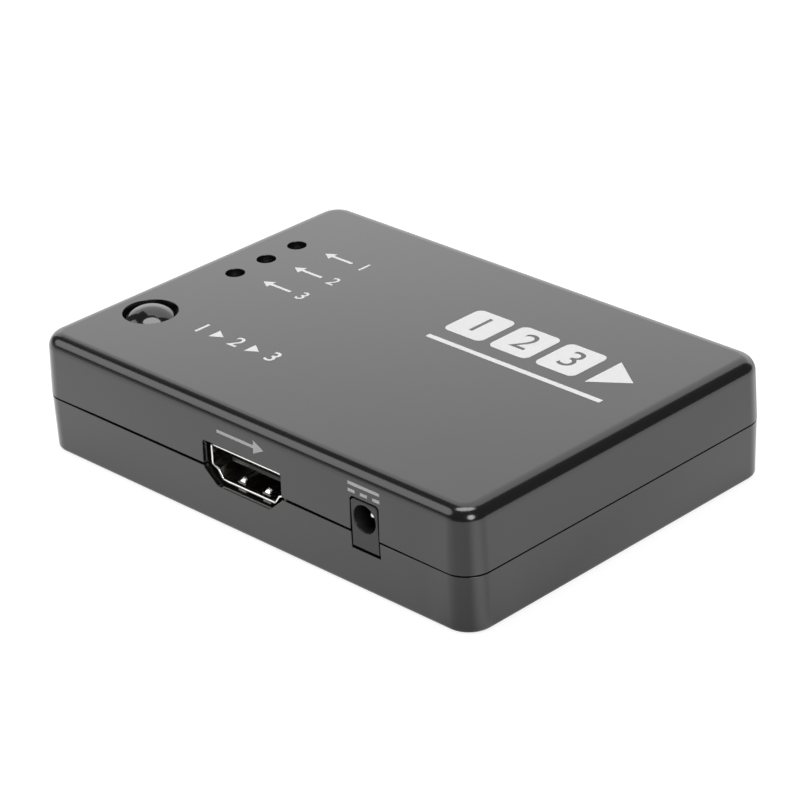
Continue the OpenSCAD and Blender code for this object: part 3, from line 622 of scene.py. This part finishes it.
def bowedRim(cover):  # the gap to the base is wider along the front than at the corners
    bow = caseShape["rimBow"]
    work = bmesh.new()
    work.from_mesh(cover.data)
    for x, _ in bow[1:-1]:
        everything = work.verts[:] + work.edges[:] + work.faces[:]
        bmesh.ops.bisect_plane(work, geom=everything, plane_co=(x * mm, 0, 0), plane_no=(1, 0, 0))
    for corner in work.verts:
        if corner.co.y < 0 and corner.co.z < (coverRim + caseShape["rimBand"]) * mm:
            corner.co.z += levelAt(bow, corner.co.x / mm) * mm
    work.to_mesh(cover.data)
    work.free()
    return cover


def topCover():
    cover = bowedRim(sweptShell("topCoverShell", coverSection()))
    button = over("select_button")
    past = caseShape["pastCut"]
    collarInner = buttonShape["flangeRadius"] + buttonShape["collarGap"]
    collarOuter = collarInner + buttonShape["collarWall"]
    collarZ = roofUnder - buttonShape["collarHeight"]
    held = roofUnder + caseShape["roof"] / 2
    collar = [(0, collarZ), (collarOuter, collarZ), (collarOuter, held), (0, held)]
    boss = [(0, boardTop), (screwShape["boss"], boardTop), (screwShape["boss"], held), (0, held)]
    adds = [lathe("boss", boss, place) for place in screwPlaces()] + [lathe("collar", collar, button)]
    combined(cover, joined("coverAdds", adds), "UNION")
    hole = buttonShape["capRadius"] + buttonShape["gap"]
    buttonCut = [(0, collarZ - past), (collarInner, collarZ - past),
                 (collarInner, roofUnder), (hole, roofUnder)]
    lensCut = [(0, roofUnder - past), (lensShape["radius"], roofUnder - past)]
    bore = [(0, boardTop - past), (screwShape["bore"], boardTop - past),
            (screwShape["bore"], screwShape["boreTop"]), (0, screwShape["boreTop"])]
    lip = caseShape["holeLip"]
    cuts = [lathe("buttonCut", upTo(hole, lip, topZ, buttonCut), button)]
    cuts += [lathe("lensCut", upTo(lensShape["radius"], lip, topZ, lensCut), over(n), 64) for n in lensNodes]
    cuts += [lathe("bore", bore, place, 48) for place in screwPlaces()]
    combined(cover, joined("coverCuts", cuts + windowCutters(coverLean)), "DIFFERENCE")
    return fitted(cover, casePlastic, "top_cover")


def baseCase():
    base = sweptShell("baseShell", baseSection())
    s = screwShape
    past = caseShape["pastCut"]
    postTop = lowOf("circuit_board").z
    half = caseShape["floor"] / 2
    post = [(0, half), (s["post"], half), (s["post"], postTop), (0, postTop)]
    combined(base, joined("basePosts", [lathe("post", post, place, 64) for place in screwPlaces()]), "UNION")
    rounded = [(s["wellRadius"] + out, depth) for out, depth in lipArc(caseShape["holeLip"])]
    well = [(0, -past), (rounded[0][0], -past)] + rounded
    well += [(s["wellRadius"], s["wellDepth"]), (s["bore"], s["wellDepth"]), (s["bore"], postTop + past),
             (0, postTop + past)]
    cuts = [lathe("well", well, place, 64) for place in screwPlaces()]
    combined(base, joined("baseCuts", cuts + windowCutters(baseLean)), "DIFFERENCE")
    return fitted(base, casePlastic, "bottom_case")


topCover()
baseCase()
print("case halves built")


# screws under the base
def caseScrews():
    s = screwShape
    low, high = lowOf("case_screws").z, highOf("case_screws").z
    under = low + s["headHeight"]
    profile = roundedLine([
        (0, low, 0), (s["headRadius"], low, s["headRound"]), (s["headRadius"], under, s["edgeRound"]),
        (s["shank"], under, 0), (s["shank"], high - s["point"], 0), (s["shank"] / 2, high, 0), (0, high, 0)])
    screw = lathe("screw", profile, steps=64)
    arms = [(-s["crossReach"], -s["crossWidth"] / 2), (-s["crossWidth"] / 2, -s["crossReach"])]
    below, deep = low - caseShape["pastCut"], low + s["crossDepth"]
    for x, y in arms:
        combined(screw, block("arm", (x, y, below), (-x, -y, deep)), "DIFFERENCE")
    corner = screwPlaces()[-1].translation
    screws = grownFrom("caseScrewSet", screw, gridCopy, {
        "Spacing X": 2 * corner.x * mm, "Spacing Y": 2 * corner.y * mm, "Count X": 2, "Count Y": 2,
        "Material": screwSteel})
    return fitted(screws, screwSteel, "case_screws")


caseScrews()


# button, indicator lenses and snap dome
def selectButton():
    s = buttonShape
    low, rim = lowOf("select_button").z, topZ - s["rimDrop"]
    flange, top = roofUnder - s["flangeHeight"], rim + s["dome"]
    sphere = (s["capRadius"] ** 2 + s["dome"] ** 2) / (2 * s["dome"])
    rimAngle = math.asin(s["capRadius"] / sphere)
    angles = [rimAngle * (1 - k / s["domeSteps"]) for k in range(s["domeSteps"] + 1)]
    dome = [(sphere * math.sin(a), top - sphere + sphere * math.cos(a)) for a in angles]
    # the rounded edge stands in for the dome's first steps
    edge = roundedLine([(s["capRadius"], roofUnder, 0), (s["capRadius"], rim, s["edgeRound"]), (*dome[2], 0)])
    profile = [(0, low), (s["stemRadius"], low), (s["stemRadius"], flange), (s["flangeRadius"], flange),
               (s["flangeRadius"], roofUnder)] + edge + dome[3:]
    button = lathe("selectButtonCap", profile, over("select_button"), 128)
    return fitted(button, buttonPlastic, "select_button", body="button")


def indicatorLens(number, node):
    s = lensShape
    low, high = lowOf(node).z, highOf(node).z
    dome = [(s["radius"] * math.cos(a), high - s["radius"] + s["radius"] * math.sin(a))
            for a in quarterTurn(s["domeSteps"])]
    profile = [(0, low), (s["flange"], low), (s["flange"], low + s["flangeHeight"]),
               (s["radius"], low + s["flangeHeight"])] + dome[:-1] + [(0, high)]
    lens = lathe("indicatorLens%d" % number, profile, over(node), 64)
    return fitted(lens, smokedLens, node)


domeShape = {"sheet": 0.1, "steps": 16, "pressed": 0.43}  # pressed is the share of its rise that is left


def snapDome():  # a thin sprung cap on the floor of the switch, drawn at rest; the plunger flattens it in use
    s = domeShape
    low, high = lowOf("switch_dome"), highOf("switch_dome")
    rim, rise = high.x - middleOf("switch_dome").x, high.z - low.z
    outer = (rim ** 2 + rise ** 2) / (2 * rise)
    centre = high.z - outer
    profile = []
    for radius, order in ((outer - s["sheet"], 1), (outer, -1)):
        reach = math.acos((low.z - centre) / radius)
        arc = [reach * k / s["steps"] for k in range(s["steps"] + 1)]
        profile += [(radius * math.sin(a), centre + radius * math.cos(a)) for a in arc][::order]
    dome = lathe("snapDome", profile, over("switch_dome"), 64)
    fitted(dome, shellSteel, "switch_dome")
    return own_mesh(dome)


selectButton()
for number, node in enumerate(lensNodes, 1):
    indicatorLens(number, node)
snapDome()
print("button, snap dome and lenses built")


# video sockets: a folded sheet with spring fingers, drawn with its mouth at y = 0
def socketShell():
    s = socketShape
    outline = bothSides(s["halfOutline"])
    sheet, rim, leadIn, length = s["sheet"], s["rimRound"], s["leadIn"], s["length"]
    quarter = quarterTurn(s["rimSteps"])
    rounded = [(rim * (1 - math.cos(a)), rim * (1 - math.sin(a))) for a in quarter]
    flared = [(sheet - leadIn * (1 - math.sin(a)), leadIn * (1 - math.cos(a))) for a in quarter]
    rings = []
    for inside, y in [(0, length)] + rounded + flared + [(sheet, length)]:
        section = roundedLoop(grow(outline, -inside), s["fold"] - inside)
        rings.append([(x, y, z) for x, z in section])
    shell = loft("shell", rings, loop=True)
    roofZ = s["halfOutline"][-1][1]
    half, slot = s["fingerWidth"] / 2, s["fingerSlot"]
    tip, end = s["fingerTip"], s["fingerTip"] + s["fingerLength"]
    fingerSlot = [(-half - slot, tip - slot), (half + slot, tip - slot), (half + slot, end), (half, end),
                  (half, tip), (-half, tip), (-half, end), (-half - slot, end)]
    through = (-s["pastSheet"], sheet + s["pastSheet"])
    cuts = []
    for x in (-s["fingerX"], s["fingerX"]):
        for z in (0, roofZ - sheet):
            cuts.append(loft("slot", [[(x + u, v, z + w) for u, v in fingerSlot] for w in through]))
    past = caseShape["pastCut"]
    cuts.append(block("tails", (-s["tailWidth"] / 2, length - s["tailLength"], -past),
                      (s["tailWidth"] / 2, length + past, through[1])))
    combined(shell, joined("shellCuts", cuts), "DIFFERENCE")
    combined(shell, joined("shellAdds", fingerBumps(roofZ) + shellLegs() + [backFlap(outline)]), "UNION")
    return shell


def fingerBump(place):  # a ridge pressed across the finger, with a sloping front and round ends
    s = socketShape
    steps, half = s["bumpSteps"], s["bumpLength"] / 2
    shares = [2 * k / steps - 1 for k in range(steps + 1)]
    rings = []
    for across in shares:
        rise = s["bumpHeight"] * math.sqrt(max(1 - across ** s["bumpEnds"], 0))
        ridge = [(share * half, rise * (1 - abs(share) ** s["bumpSlope"])) for share in shares]
        root = [(half, -s["bumpRoot"]), (-half, -s["bumpRoot"])]
        rings.append([place @ Vector((across * s["bumpWidth"] / 2, y, z)) for y, z in ridge + root])
    return loft("bump", rings)


def fingerBumps(roofZ):
    s = socketShape
    y = s["fingerTip"] + s["fingerWidth"] / 2
    flip = Matrix.Rotation(math.pi, 4, "X")
    bumps = []
    for x in (-s["fingerX"], s["fingerX"]):
        bumps.append(fingerBump(Matrix.Translation((x, y, s["sheet"]))))
        bumps.append(fingerBump(Matrix.Translation((x, y, roofZ - s["sheet"])) @ flip))
    return bumps


def shellLegs():
    s = socketShape
    sideX, sideZ = s["halfOutline"][2]
    low = lowOf("output_shell").z - boardTop
    thin, width = s["sheet"] - s["legThinner"], s["legWidth"]
    middle = sideX - s["sheet"] / 2
    places = [(sx * middle, y) for sx in (-1, 1) for y in (s["legFromEnd"], s["length"] - s["legFromEnd"])]
    return [block("leg", (x - thin / 2, y - width / 2, low), (x + thin / 2, y + width / 2, sideZ + width))
            for x, y in places]


def backFlap(outline):
    s = socketShape
    flat = [(x, max(z, s["tailHeight"])) for x, z in roundedLoop(outline, s["fold"])]
    above = [p for k, p in enumerate(flat) if p != flat[k - 1]]
    ends = (s["length"] - s["flapOverlap"], s["length"] + s["sheet"])
    return loft("flap", [[(x, y, z) for x, z in above] for y in ends])


def placedOnBoard(node):
    mouth = lowOf(node).y
    turn = Matrix()
    if facesBack(node):
        mouth = highOf(node).y
        turn = Matrix.Rotation(math.pi, 4, "Z")
    return Matrix.Translation((middleOf(node).x, mouth, boardTop)) @ turn


shellMesh = socketShell()
for label, node in socketNodes.items():
    copy = linked(label + "SocketShell", shellMesh.data.copy())
    moved(copy, placedOnBoard(node))
    fitted(copy, shellSteel, node)
bpy.data.objects.remove(shellMesh)
print("sockets built")


# supply jack, drawn with its face at y = 0
def intoJack():  # turns an upright profile to lie along the bore
    return Matrix.Translation((0, 0, jackShape["boreHeight"])) @ Matrix.Rotation(-math.pi / 2, 4, "X")


def jackHousing():
    s = jackShape
    past = caseShape["pastCut"]
    outline = bothSides(s["halfOutline"])
    edge = [(s["edgeRound"] * math.sin(a), s["edgeRound"] * (1 - math.cos(a)))
            for a in quarterTurn(s["edgeSteps"])]
    rings = [[(x, depth, z) for x, z in grow(outline, out - s["edgeRound"])] for out, depth in edge]
    rings.append([(x, s["length"], z) for x, z in outline])
    housing = loft("jackHousing", rings)
    top = s["halfOutline"][-1][1]
    wide = s["halfOutline"][0][0] + past
    behind = s["length"] + past
    step = block("step", (-wide, s["frontLength"], top - s["step"]), (wide, behind, top + past))
    combined(housing, step, "DIFFERENCE")
    rounded = [(s["bore"] + out, depth) for out, depth in lipArc(s["boreLip"])]
    pinHole = s["pin"] + s["pinGap"]
    bore = [(0, -past), (rounded[0][0], -past)] + rounded
    bore += [(s["bore"], s["boreDepth"]), (pinHole, s["boreDepth"]), (pinHole, behind), (0, behind)]
    combined(housing, lathe("bore", bore, intoJack()), "DIFFERENCE")
    slot, slotTop = s["slotWidth"] / 2, s["boreHeight"] - s["slotDrop"]
    springSlot = block("springSlot", (-slot, s["slotFrom"], -past), (slot, s["slotTo"], slotTop))
    combined(housing, springSlot, "DIFFERENCE")
    moved(housing, placedOnBoard("dc_jack_housing"))
    return fitted(housing, jackPlastic, "dc_jack_housing")


def jackPin():
    s = jackShape
    r, tip, half = s["pin"], s["pinTip"], s["terminalWidth"] / 2
    back = highOf("dc_centre_pin").y - lowOf("dc_jack_housing").y
    nose = roundedLine([(0, tip, 0), (r, tip, s["pinRound"]), (r, back, 0), (0, back, 0)])
    pin = lathe("jackPin", nose, intoJack(), 48)
    foot = lowOf("dc_centre_pin").z - boardTop
    terminal = block("terminal", (-half, s["length"], foot), (half, back, s["boreHeight"] + r))
    combined(pin, terminal, "UNION")
    moved(pin, placedOnBoard("dc_jack_housing"))
    return fitted(pin, shellSteel, "dc_centre_pin")


jackHousing()
jackPin()
print("supply jack built")

# finishes of the solids that stay as they are
solidFinish = {
    boardMask: ["circuit_board"],
    insulatorPlastic: ["output_insulator", "input_insulator_1", "input_insulator_2", "input_insulator_3",
                       "switch_base", "switch_plunger"],
    contactGold: ["output_contacts", "input_contacts_1", "input_contacts_2", "input_contacts_3"],
    tinLead: ["led_leads_1", "led_leads_2", "led_leads_3", "regulator_leads", "switch_terminals"],
    shellSteel: ["switch_plate"],
    springBronze: ["dc_spring"],
    chipResin: ["switch_chip", "voltage_regulator"],
    canAluminium: ["supply_capacitor"],
    ceramicBrown: ["chip_capacitors"],
    resistorBlack: ["chip_resistors"],
}
for material, names in solidFinish.items():
    for name in names:
        painted(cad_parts[name], material)
print("solids finished")

# printed marks: plain numbers and signs, a thin coat of ink on the case
markShape = {
    "ink": 0.02, "sunk": 0.005, "bolder": 0.008,
    "pointerTip": -29.2, "pointerHead": 1.6, "pointerEnd": -23.6, "pointerLine": 0.5,
    "numberX": -21.2, "numberSize": 3.3, "numberRise": 0.55,
    "stepFrom": -24.6, "stepY": -14.0, "stepPitch": 7.3, "stepSize": 3.9, "stepArrow": 1.9,
    "badgeFrom": 5.4, "badgeY": 11.5, "badgePitch": 8.6, "badgeWidth": 7.2, "badgeHeight": 7.8,
    "badgeRound": 1.1, "badgeNumber": 6.6, "cutCoats": 8,  # thickness of the cutter in coats of ink
    "flowTip": 33.8, "flowHead": 5.4, "flowSlope": 0.7, "ruleY": 4.7, "ruleLine": 0.9, "ruleTo": 34.0,
    "signLine": 0.45, "outZ": 14.7, "outArrow": 9.2, "outHead": 2.0, "outSlope": 0.5,
    "supplyZ": 15.1, "supplyWidth": 5.8, "supplyApart": 1.05,
}


def inkPlate(name, loop):  # a flat shape in x and y, raised to the thickness of the ink
    s = markShape
    return loft(name, [[(x, y, z) for x, y in loop] for z in (-s["sunk"], s["ink"])])


def inkLine(name, start, end, width):
    a, b = Vector(start), Vector(end)
    side = Vector((a.y - b.y, b.x - a.x)).normalized() * width / 2
    return inkPlate(name, [a + side, a - side, b - side, b + side][::-1])


def inkArrow(name, tip, size, angle=0, slope=0.6):
    points = [(0, 0), (-size, size * slope), (-size, -size * slope)]
    return inkPlate(name, [Vector(tip) + turned(Vector(p), angle) for p in points])


def inkNumber(text, centre, size, coats=1):
    s = markShape
    letters = bpy.data.curves.new("number", "FONT")
    letters.body, letters.size = text, size * mm
    letters.align_x, letters.align_y = "CENTER", "CENTER"
    letters.extrude = coats * s["ink"] / 2 * mm
    letters.offset = 0 if coats > 1 else s["bolder"] * size * mm
    source = linked("number", letters)
    number = linked("number", plainMesh(source))
    bpy.data.objects.remove(source)
    return cleaned(moved(number, Matrix.Translation((*centre, s["ink"] / 2))))


def printed(name, parts, place):
    mark = painted(moved(joined(name, parts), place), printInk)
    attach(mark, "case")
    return mark


onTop = Matrix.Translation((0, 0, topZ))


def onFront(z):
    lean = math.atan2(coverLean(topZ) - coverLean(coverRim), topZ - coverRim)
    upright = Matrix.Rotation(math.pi / 2 - lean, 4, "X")
    return Matrix.Translation((0, coverLean(z) - halfDepth, z)) @ upright


def indicatorMarks():  # an arrow from each number to its indicator
    s = markShape
    neck = s["pointerTip"] + s["pointerHead"]
    parts = []
    for number, node in enumerate(lensNodes, 1):
        y = middleOf(node).y + s["numberRise"]
        parts.append(inkArrow("pointer", (s["pointerTip"], y), s["pointerHead"], math.pi))
        parts.append(inkLine("tail", (neck, y), (s["pointerEnd"], y), s["pointerLine"]))
        parts.append(inkNumber(str(number), (s["numberX"], y), s["numberSize"]))
    return printed("indicatorMarks", parts, onTop)


def selectorMarks():  # the order in which the button steps
    s = markShape
    parts = []
    for number in (1, 2, 3):
        x = s["stepFrom"] + (number - 1) * s["stepPitch"]
        parts.append(inkNumber(str(number), (x, s["stepY"]), s["stepSize"]))
        if number < 3:
            tip = (x + (s["stepPitch"] + s["stepArrow"]) / 2, s["stepY"])
            parts.append(inkArrow("step", tip, s["stepArrow"]))
    return printed("selectorMarks", parts, onTop)


def routeMarks():  # three numbered badges that lead to one arrow, over a rule
    s = markShape
    parts = []
    halfWide, halfTall = s["badgeWidth"] / 2, s["badgeHeight"] / 2
    for number in (1, 2, 3):
        x, y = s["badgeFrom"] + (number - 1) * s["badgePitch"], s["badgeY"]
        corners = [(x - halfWide, y - halfTall), (x + halfWide, y - halfTall),
                   (x + halfWide, y + halfTall), (x - halfWide, y + halfTall)]
        badge = inkPlate("badge", roundedLoop(corners, s["badgeRound"]))
        cut = inkNumber(str(number), (x, y), s["badgeNumber"], s["cutCoats"])
        parts.append(combined(badge, cut, "DIFFERENCE"))
    parts.append(inkArrow("flow", (s["flowTip"], s["badgeY"]), s["flowHead"], slope=s["flowSlope"]))
    ruleFrom = s["badgeFrom"] - halfWide
    parts.append(inkLine("rule", (ruleFrom, s["ruleY"]), (s["ruleTo"], s["ruleY"]), s["ruleLine"]))
    return printed("routeMarks", parts, onTop)


def outputMark():
    s = markShape
    x = middleOf("output_shell").x
    tail, tip = x - s["outArrow"] / 2, x + s["outArrow"] / 2
    parts = [inkLine("tail", (tail, 0), (tip - s["outHead"], 0), s["signLine"]),
             inkArrow("head", (tip, 0), s["outHead"], slope=s["outSlope"])]
    return printed("outputMark", parts, onFront(s["outZ"]))


def supplyMark():  # a long line over a row of dashes, the sign for direct current
    s = markShape
    x, apart, half = middleOf("dc_jack_housing").x, s["supplyApart"] / 2, s["supplyWidth"] / 2
    halfDash = s["supplyWidth"] / 9
    dash = inkLine("dash", (-halfDash, 0), (halfDash, 0), s["signLine"])
    dashes = grownFrom("dashes", dash, gridCopy, {
        "Spacing X": 2 * (half - halfDash) * mm, "Spacing Y": 0.0, "Count X": 3, "Count Y": 1,
        "Material": printInk})
    moved(dashes, Matrix.Translation((x, -apart, 0)))
    line = inkLine("line", (x - half, apart), (x + half, apart), s["signLine"])
    return printed("supplyMark", [line, dashes], onFront(s["supplyZ"]))


indicatorMarks()
selectorMarks()
routeMarks()
outputMark()
supplyMark()
print("marks printed")

# studio
studio = {
    # oval panels: azimuth and elevation in degrees, distance, width and height in metres, brightness
    "panels": {
        "overhead": (46, 86, 1.00, 0.90, 0.46, 5.0),
        "leftFront": (-47, 34.5, 1.00, 0.80, 0.59, 1.75),
        "rightKey": (66, 28, 1.00, 0.44, 0.50, 6.2),
    },
    # upright screens: radius in metres, azimuth from and to, and brightness by elevation up to the top edge
    "screens": {
        "backScreen": (1.2, -110, -192, [
            (0, 1.25), (12, 1.55), (21, 1.93), (29, 1.20), (56, 1.30), (72, 1.60)]),
        "sideScreen": (1.2, -97, -110, [(0, 1.25), (12, 1.50), (30, 1.20), (41, 1.15)]),
        "lowScreen": (1.3, -10, -95, [(0, 0.60), (9, 0.50)]),
    },
    "screenSteps": 32, "ambient": 0.12,
    "floorSize": 6.0, "floorGlow": 0.81, "floorColour": 0.30, "floorRough": 0.9,
    # painted light and shade on the floor, seen only in gloss: its brightness by azimuth about the near
    # corner
    "floorPaintedLight": [
        (-180, 0.6), (-120, 0.7), (-95, 1.40), (-82, 1.25), (-70, 1.11), (-55, 1.08), (-48, 1.01),
        (-40, 1.10), (-12, 0.84), (4, 0.70), (48, 0.70), (55, 0.85), (70, 1.38), (78, 1.50),
        (88, 1.46), (108, 0.98), (118, 1.02), (134, 1.10), (150, 1.05), (162, 1.03), (172, 1.28),
    ],
    # painted contact shadow: in reflections the floor is dimmer close to the case
    "floorPaintedShadow": (14.0, 0.80),  # reach in millimetres of the dimmer strip along the case, and its level
}


def rampNode(tree, value, points):  # straight lines between points of (place from 0 to 1, level)
    ramp = tree.nodes.new("ShaderNodeValToRGB")
    top = max(level for _, level in points)
    marks = ramp.color_ramp.elements
    while len(marks) < len(points):
        marks.new(0.5)
    for mark, (place, level) in zip(marks, points):
        mark.position, mark.color = place, (level / top, level / top, level / top, 1)
    tree.links.new(value, ramp.inputs["Fac"])
    return mathNode(tree, "MULTIPLY", ramp.outputs["Color"], top)


def rangeNode(tree, value, fromMin, fromMax, toMin, toMax):
    made = tree.nodes.new("ShaderNodeMapRange")
    for label, level in (("From Min", fromMin), ("From Max", fromMax), ("To Min", toMin), ("To Max", toMax)):
        made.inputs[label].default_value = level
    tree.links.new(value, made.inputs["Value"])
    return made.outputs["Result"]


def objectAxes(tree):
    place = tree.nodes.new("ShaderNodeTexCoord")
    split = tree.nodes.new("ShaderNodeSeparateXYZ")
    tree.links.new(place.outputs["Object"], split.inputs["Vector"])
    return split.outputs


def lightPath(tree):  # the node, and 1 for rays straight from the camera or through something clear
    light = tree.nodes.new("ShaderNodeLightPath")
    shown = mathNode(tree, "MAXIMUM", light.outputs["Is Camera Ray"], light.outputs["Is Transmission Ray"])
    return light, shown


def worldLight():
    world = bpy.data.worlds.new("studio")
    world.use_nodes = True
    scene.world = world
    tree = world.node_tree
    background = tree.nodes["Background"]
    _, shown = lightPath(tree)
    background.inputs["Color"].default_value = (1, 1, 1, 1)
    tree.links.new(mathNode(tree, "MAXIMUM", shown, studio["ambient"]), background.inputs["Strength"])


def studioFloor():
    s = studio
    half = s["floorSize"] / 2 / mm
    corners = [(-half, -half, 0), (half, -half, 0), (half, half, 0), (-half, half, 0)]
    floor = newPiece("floor", corners, [(0, 1, 2, 3)])
    material = bpy.data.materials.new("floorPaper")
    material.use_nodes = True
    tree = material.node_tree
    shader = tree.nodes["Principled BSDF"]
    shader.inputs["Base Color"].default_value = (*grey(s["floorColour"]), 1)
    shader.inputs["Roughness"].default_value = s["floorRough"]
    shader.inputs["Specular IOR Level"].default_value = 0.0
    shader.inputs["Emission Color"].default_value = (1, 1, 1, 1)
    light, shown = lightPath(tree)
    axes = objectAxes(tree)
    # painted light and shade: the floor's glow in reflections is brightened and dimmed by azimuth about the
    # near corner
    cornerX, cornerY = ((side - caseShape["cornerRadius"]) * mm for side in (halfWidth, halfDepth))
    aside = mathNode(tree, "SUBTRACT", axes["X"], cornerX)
    ahead = mathNode(tree, "SUBTRACT", -cornerY, axes["Y"])
    share = rangeNode(tree, mathNode(tree, "ARCTAN2", aside, ahead), -math.pi, math.pi, 0, 1)
    tone = rampNode(tree, share, [((a + 180) / 360, level) for a, level in s["floorPaintedLight"]])
    # painted shadow: a contact shadow, with the floor's glow in reflections dimmed close to the case
    gaps = [mathNode(tree, "SUBTRACT", mathNode(tree, "ABSOLUTE", axes[axis]), side * mm)
            for axis, side in (("X", halfWidth), ("Y", halfDepth))]
    reach, level = s["floorPaintedShadow"]
    near = rangeNode(tree, mathNode(tree, "MAXIMUM", *gaps), 0, reach * mm, level, 1)
    tone = mathNode(tree, "MULTIPLY", tone, near)
    seen = mathNode(tree, "MAXIMUM", shown, mathNode(tree, "MULTIPLY", light.outputs["Is Glossy Ray"], tone))
    tree.links.new(mathNode(tree, "MULTIPLY", seen, s["floorGlow"]), shader.inputs["Emission Strength"])
    floor.data.materials.append(material)


def studioScreen(name, radius, fromAzimuth, toAzimuth, levels):
    count = studio["screenSteps"]
    angles = [math.radians(fromAzimuth + (toAzimuth - fromAzimuth) * k / count) for k in range(count + 1)]
    heights = [radius * math.tan(math.radians(elevation)) for elevation, _ in levels]
    points = [(radius * math.sin(a) / mm, -radius * math.cos(a) / mm, z / mm)
              for z in (0, heights[-1]) for a in angles]
    faces = [(k, k + 1, k + count + 2, k + count + 1) for k in range(count)]
    screen = newPiece(name, points, faces)
    material = bpy.data.materials.new(name)
    material.use_nodes = True
    tree = material.node_tree
    tree.nodes.remove(tree.nodes["Principled BSDF"])
    glow = tree.nodes.new("ShaderNodeEmission")
    share = rangeNode(tree, objectAxes(tree)["Z"], 0, heights[-1], 0, 1)
    level = rampNode(tree, share, [(z / heights[-1], level) for z, (_, level) in zip(heights, levels)])
    tree.links.new(level, glow.inputs["Strength"])
    tree.links.new(glow.outputs["Emission"], tree.nodes["Material Output"].inputs["Surface"])
    screen.data.materials.append(material)


def bearing(azimuth, elevation):  # degrees, from straight in front of the object and from level
    a, e = math.radians(azimuth), math.radians(elevation)
    return Vector((math.sin(a) * math.cos(e), -math.cos(a) * math.cos(e), math.sin(e)))


def lightPanel(name, azimuth, elevation, distance, width, height, brightness):
    away = bearing(azimuth, elevation)
    lamp = bpy.data.lights.new(name, "AREA")
    lamp.shape = "ELLIPSE"
    lamp.size, lamp.size_y = width, height
    area = math.pi / 4 * width * height
    lamp.energy = brightness * math.pi * area  # the power at which a surface of this area looks that bright
    panel = linked(name, lamp)
    panel.location = away * distance
    panel.rotation_mode = "QUATERNION"
    panel.rotation_quaternion = (-away).to_track_quat("-Z", "Y")


scene.view_settings.view_transform = "Standard"
worldLight()
studioFloor()
for name, values in studio["screens"].items():
    studioScreen(name, *values)
for name, values in studio["panels"].items():
    lightPanel(name, *values)

# camera at the photograph's place
photoCamera = {
    "lens": 144.69, "sensor": 36.0, "clip": (0.01, 50.0),
    "azimuth": 46.0, "elevation": 26.86, "roll": -2.99, "distance": 448.57, "target": (1.77, -1.29, 10.16),
}


def takeCamera():
    s = photoCamera
    roll = math.radians(s["roll"])
    back = bearing(s["azimuth"], s["elevation"])
    right = (-back).cross(Vector((0, 0, 1))).normalized()
    up = right.cross(-back)
    rolledRight = right * math.cos(roll) + up * math.sin(roll)
    rolledUp = up * math.cos(roll) - right * math.sin(roll)
    data = bpy.data.cameras.new("photoCamera")
    data.lens, data.sensor_width, data.sensor_fit = s["lens"], s["sensor"], "HORIZONTAL"
    data.clip_start, data.clip_end = s["clip"]
    camera = linked("photoCamera", data)
    turn = Matrix((rolledRight, rolledUp, back)).transposed().to_4x4()
    camera.matrix_world = Matrix.Translation((Vector(s["target"]) + back * s["distance"]) * mm) @ turn
    scene.camera = camera


takeCamera()
print("studio and camera set")
